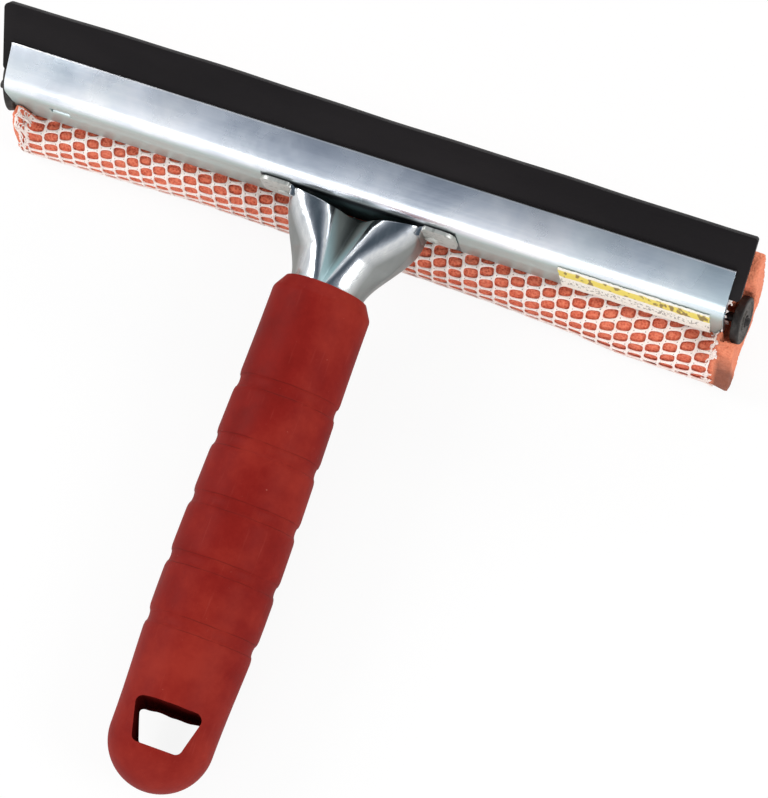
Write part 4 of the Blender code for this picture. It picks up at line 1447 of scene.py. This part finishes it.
def neck_finish():
    """Drawn zinc: slate fronts, a crease with a painted teal reflection, flanks greyed with
    painted shade, and worn, scratched tabs.
    """
    f = Finish("zinc_plated_neck")
    x, y, z = f.axes(f.place)
    streaks = f.noise(1, 4, 0.6, stretch=(500, 30, 500))
    off = abs(x - y * ((NECK_LEAN[1] - NECK_LEAN[0]) / -GRIP_MOUTH) - NECK_LEAN[0])
    crease = y * ((CREASE_HALF_RIM - CREASE_HALF_MOUTH) / GRIP_MOUTH) + CREASE_HALF_RIM
    # Painted reflection: the crease gets a teal colour and less metal, standing in for the
    # reflection seen in it
    inside = crease.past(off * 1.12, 1400)
    # Painted shade: the flanks are darkened so that they show less of the lamps' reflection
    flank_shade = z.before(FLANK_FRONT, FLANK_FADE)
    worn = off.past(NECK_HALF_WIDTH + 0.0002, 5000)
    scratch = f.ramp(f.noise(1, 3, 0.6, stretch=(700, 90, 700)), (0.55, 0), (0.68, 1))
    dull = f.mix(scratch, (0.50, 0.51, 0.48), (0.30, 0.31, 0.29))
    colour = f.ramp(
        streaks * 0.5 + f.noise(120, 4, 0.6) * 0.5,
        (0.3, (0.40, 0.43, 0.46)), (0.5, (0.56, 0.58, 0.60)), (0.7, (0.70, 0.71, 0.71)),
    )
    colour = f.mix(inside, colour, (0.27, 0.39, 0.41))
    colour = f.mix(flank_shade * 0.85, colour, (0.19, 0.20, 0.19))
    colour = f.mix(worn, colour, dull)
    rough = f.ramp(f.noise(90, 4, 0.6), (0.3, 0.16), (0.75, 0.28))
    rough = rough + (worn + inside) * 0.2 + flank_shade * 0.14
    normal = f.bump(streaks, 0.00004, 0.5, f.bump(f.noise(260), 0.00014, 0.7))
    return f.surface(colour, rough, normal, 1 - worn * 0.4 - inside * 0.6)


def rubber_finish():
    f = Finish("black_rubber", IOR=1.5, Specular_IOR_Level=0.1)
    smear = f.noise(45, 5, 0.6, stretch=(0.35, 1, 1))
    colour = f.ramp(smear, (0.35, (0.0085, 0.0072, 0.008)), (0.8, (0.015, 0.0128, 0.0138)))
    rough = f.ramp(f.noise(220), (0.3, 0.5), (0.8, 0.68))
    normal = f.bump(f.noise(1600), 0.00006, 0.4, f.bump(f.noise(60), 0.0003, 0.35))
    return f.surface(colour, rough, normal)


def wire_finish():
    f = Finish("black_wire", Specular_IOR_Level=0.3)
    colour = f.ramp(f.noise(600), (0.3, (0.012, 0.011, 0.011)), (0.8, (0.03, 0.026, 0.024)))
    rough = f.ramp(f.noise(900, 2), (0.3, 0.35), (0.8, 0.55))
    return f.surface(colour, rough, f.bump(f.noise(1500), 0.00005, 0.4))


def washer_finish():
    """Rubber, dusty between its bore and its rim."""
    f = Finish("washer_rubber", Specular_IOR_Level=0.2)
    _, y, z = f.axes(f.place)
    y, z = y - ROD_Y, z - ROD_Z
    reach = f.math("SQRT", y * y + z * z) + f.waver(700, 0.0012, 4)
    colour = f.ramp(
        reach * 100,
        (0.12, (0.012, 0.010, 0.010)), (0.2, (0.085, 0.078, 0.07)), (0.5, (0.11, 0.10, 0.09)),
        (0.6, (0.05, 0.046, 0.042)), (0.64, (0.016, 0.013, 0.013)),
    )
    spots = f.ramp(f.noise(1500, 4, 0.7), (0.45, 0.7), (0.6, 0))
    colour = f.mix(spots, colour, (0.02, 0.018, 0.017))
    rough = f.ramp(f.noise(500), (0.3, 0.5), (0.8, 0.7))
    return f.surface(colour, rough, f.bump(f.noise(1500), 0.00008, 0.5))


def foam_finish():
    f = Finish("orange_foam")
    x, y, _ = f.axes(f.place)
    pores = f.cells(1500)
    blotch = f.noise(130, 4, 0.6)
    # Painted shade on the lower part of the sponge's right end
    low = (y + blotch * 0.003).before(FOAM_SHADE_TOP, 500)
    colour = f.ramp(
        pores,
        (0.05, (0.42, 0.05, 0.025)), (0.35, (0.64, 0.115, 0.058)), (0.8, (0.76, 0.20, 0.11)),
    )
    colour = f.mix(f.ramp(blotch, (0.4, 0), (0.8, 0.35)), colour, (0.84, 0.32, 0.2))
    colour = f.mix(abs(x).past(FOAM_BARE_FROM, 300) * 0.4, colour, (0.86, 0.33, 0.17))
    colour = f.mix(low * x.past(FOAM_SHADE_FROM, 800) * 0.85, colour, (0.16, 0.05, 0.03))
    normal = f.bump(pores, 0.0004, 0.6, f.bump(f.noise(900, 4), 0.0003, 0.5))
    return f.surface(colour, 0.92, normal)


def yarn_finish():
    """Off-white yarn, with painted shade for the small gaps that the knitting leaves at the ends
    of each web.
    """
    f = Finish("knitted_yarn", Specular_IOR_Level=0.2)
    knit = f.node("Attribute", attribute_type="GEOMETRY", attribute_name="knit")
    column, row, _ = f.axes(knit.outputs["Vector"])
    across = f.math("FRACT", column)
    odd = f.math("MODULO", f.math("FLOOR", column), 2)
    down = f.math("FRACT", row - odd * 0.5) + (across - 0.5) * CELL_RISE
    side = (f.math("PINGPONG", across, 0.5) - GAP_ACROSS) / GAP_HALF_ACROSS
    over = (down - 0.5) / GAP_HALF_DOWN
    gap_shade = f.ramp(side * side + over * over + f.waver(260, 1.6), (0.35, 0.8), (0.95, 0))
    fibre = f.noise(3200, 3, 0.7)
    colour = f.ramp(f.noise(300), (0.3, (0.90, 0.77, 0.72)), (0.7, (0.96, 0.90, 0.86)))
    colour = f.mix(f.ramp(fibre, (0.35, 0.22), (0.6, 0)), colour, (0.66, 0.40, 0.34))
    # Painted shade in the small gaps at the ends of each web
    colour = f.mix(gap_shade, colour, (0.16, 0.08, 0.06))
    return f.surface(colour, 0.75, f.bump(fibre, 0.0002, 0.7))


def plastic_finish():
    """Mottled, scratched plastic with painted shade lines at the edges of its grooves."""
    f = Finish("red_moulded_plastic", IOR=1.46, Specular_IOR_Level=0.06)
    _, y, _ = f.axes(f.place)
    half_pitch = GROOVE_PITCH / 2
    half_grooved = GROOVE_COUNT * half_pitch
    depth = y * -1 - (GRIP_MOUTH + GROOVE_FIRST - half_pitch)
    from_groove = abs(f.math("PINGPONG", depth + f.waver(160, 0.0006), half_pitch) - half_pitch)
    # Painted shade: thin dark lines at the grooves' edges
    groove_shade = abs(from_groove - GROOVE_WIDTH / 2).before(GROOVE_SHADE_LINE, 1 / GROOVE_SHADE_LINE)
    groove_shade = groove_shade * f.ramp(f.noise(120), (0.38, 0.1), (0.6, 0.65))
    groove_shade = groove_shade * f.math("LESS_THAN", abs(depth - half_grooved), half_grooved)
    mottle = f.noise(95, 5, 0.65)
    scratch = f.ramp(f.noise(1, 4, 0.6, stretch=(900, 60, 900)), (0.62, 0), (0.72, 1))
    speck = f.ramp(f.noise(1100, 3, 0.6), (0.7, 0), (0.76, 0.6))
    speck = speck * f.ramp(f.noise(60, 2), (0.5, 0), (0.62, 1))
    colour = f.ramp(
        mottle * 0.45 + f.noise(26, 3, 0.5) * 0.55,
        (0.34, (0.142, 0.0064, 0.0050)), (0.5, (0.200, 0.0108, 0.0080)),
        (0.66, (0.272, 0.0235, 0.015)),
    )
    colour = f.mix(scratch * 0.12, colour, (0.42, 0.08, 0.06))
    colour = f.mix(groove_shade, colour, (0.045, 0.004, 0.003))
    colour = f.mix(speck, colour, (0.45, 0.14, 0.11))
    rough = f.ramp(mottle, (0.3, 0.45), (0.75, 0.62))
    normal = f.bump(f.noise(1400), 0.00005, 0.35, f.bump(mottle, 0.00022, 0.35))
    return f.surface(colour, rough, normal)


def hole_shade_finish():
    """The deep walls of the hang hole, painted darker as shade, where the plastic sees little
    light.
    """
    f = Finish("red_plastic_painted_shade", Specular_IOR_Level=0)
    mottle = f.noise(240, 4, 0.6)
    colour = f.ramp(mottle, (0.3, (0.05, 0.0035, 0.003)), (0.7, (0.09, 0.006, 0.005)))
    return f.surface(colour, 0.8, f.bump(f.noise(900), 0.0001, 0.4))


def paper_finish():
    """Worn paper with a yellow band, dark blots on it and rows of specks behind it."""
    f = Finish("worn_paper", Specular_IOR_Level=0.2)
    _, _, z = f.axes(f.place)
    fibres = f.noise(900, 4, 0.6)
    wavy = z + f.waver(260, 0.0022, 4)
    band = f.ramp(wavy * 100, (0.16, 0), (0.2, 1), (0.76, 1), (0.84, 0))
    blots = f.ramp(f.noise(1, 2, 0.5, stretch=(420, 120, 120)), (0.53, 0), (0.57, 1)) * band
    specks = f.ramp(f.noise(1, 3, 0.7, stretch=(1500, 500, 500)), (0.52, 0), (0.6, 1))
    rows = f.ramp(wavy * -100 + 0.2, (0.22, 0), (0.3, 1), (0.72, 1), (0.8, 0))
    colour = f.ramp(fibres, (0.3, (0.86, 0.82, 0.72)), (0.7, (0.95, 0.93, 0.87)))
    colour = f.mix(band * 0.95, colour, (0.84, 0.68, 0.10))
    colour = f.mix(blots * 0.8, colour, (0.16, 0.09, 0.05))
    colour = f.mix(specks * rows * 0.75, colour, (0.14, 0.12, 0.11))
    return f.surface(colour, 0.65, f.bump(fibres, 0.0001, 0.5))


# Floor and surround: how much the floor glows as seen and as mirrored, the light of the
# surround, and how it looks in reflections, by the sine of the height over the horizon
FLOOR_DROP = 0.0001
FLOOR_GLOW = 0.9
FLOOR_GLINT = 0.3
SKY_LIGHT = 0.52
CEILING = (
    (0, (1, 1, 1)), (0.5, (1, 1, 1)), (0.58, (0.68, 0.72, 0.77)), (0.66, (0.47, 0.51, 0.57)),
    (0.85, (0.22, 0.25, 0.30)), (0.97, (0.08, 0.11, 0.14)),
)
# Lamps, as (name, place, size, power)
LAMPS = (
    ("key_left", (-1.05, 0.05, 0.8), (0.55, 0.55), 8),
    ("key_right", (1.05, -0.1, 0.8), (0.5, 0.5), 7),
    ("back_strip", (0, 1.2, 0.7), (1.8, 0.4), 7),
    ("front_low", (-0.1, -1.1, 0.35), (1.4, 0.5), 5),
)


def add_camera():
    data = bpy.data.cameras.new("camera")
    data.lens = CAMERA_LENS
    data.shift_x = CAMERA_SHIFT
    data.sensor_fit = "HORIZONTAL"
    data.sensor_width = SENSOR_WIDTH
    data.clip_end = 10
    camera = linked("camera", data)
    away = (Vector(CAMERA_PLACE) - Vector(CAMERA_TARGET)).normalized()
    level = Vector((0, 1, 0)).cross(away).normalized()
    upright = Matrix((level, away.cross(level), away)).transposed()
    turned = (upright @ Matrix.Rotation(CAMERA_ROLL, 3, "Z")).to_4x4()
    camera.matrix_world = HEAD @ Matrix.Translation(CAMERA_PLACE) @ turned
    bpy.context.scene.camera = camera


def build_floor():
    bm = bmesh.new()
    bmesh.ops.create_grid(bm, x_segments=1, y_segments=1, size=4)
    mesh = bpy.data.meshes.new("floor")
    bm.to_mesh(mesh)
    bm.free()
    floor = linked("floor", mesh)
    floor.location.z = -FLOOR_DROP
    f = Finish("pale_floor", Base_Color=(0.86, 0.86, 0.86, 1), Roughness=0.9)
    seen, mirrored = f.rays()
    mixed = f.node("MixShader")
    f.feed(mixed.inputs[0], f.math("MAXIMUM", seen * FLOOR_GLOW, mirrored * FLOOR_GLINT))
    f.feed(mixed.inputs[1], f.shader.outputs[0])
    f.feed(mixed.inputs[2], f.node("Emission").outputs[0])
    f.feed(f.tree.nodes["Material Output"].inputs["Surface"], mixed.outputs[0])
    mesh.materials.append(f.material)


def build_sky():
    """A white surround, whose reflection falls off to a dim bluish ceiling overhead."""
    world = bpy.data.worlds.new("studio")
    bpy.context.scene.world = world
    world.use_nodes = True
    sky = Nodes(world.node_tree)
    seen, mirrored = sky.rays()
    _, _, height = sky.axes(sky.node("TexCoord").outputs["Generated"])
    background = sky.tree.nodes["Background"].inputs
    sky.feed(background["Color"], sky.mix(mirrored, (1, 1, 1), sky.ramp(height, *CEILING)))
    direct = sky.math("MAXIMUM", mirrored, seen)
    sky.feed(background["Strength"], direct * (1 - SKY_LIGHT) + SKY_LIGHT)


def add_lamp(name, place, size, power):
    data = bpy.data.lights.new(name, "AREA")
    data.shape = "RECTANGLE"
    data.size, data.size_y = size
    data.energy = power
    lamp = linked(name, data)
    lamp.location = place
    lamp.rotation_euler = (-Vector(place)).to_track_quat("-Z", "Y").to_euler()


zinc = zinc_finish()
neck_steel = neck_finish()
rubber = rubber_finish()
black_wire = wire_finish()
washer_rubber = washer_finish()
foam = foam_finish()
yarn = yarn_finish()
grip_plastic = plastic_finish()
grip_hole_shade = hole_shade_finish()
paper = paper_finish()
add_camera()
build_floor()
build_sky()
for lamp in LAMPS:
    add_lamp(*lamp)
bpy.context.scene.view_settings.view_transform = "Standard"
build_front_plate()
build_back_plate()
build_blade()
build_rod()
build_washer("end_washer_left_rubber", -1, Matrix.Rotation(WASHER_TILT_LEFT, 3, "Z"))
build_washer("end_washer_right_rubber", 1, Matrix.Rotation(-WASHER_TILT_RIGHT, 3, "Y"))
build_neck()
build_rivet("neck_rivet_left_steel", -1)
build_rivet("neck_rivet_right_steel", 1)
build_grip()
build_label()
build_sponge()
build_net()
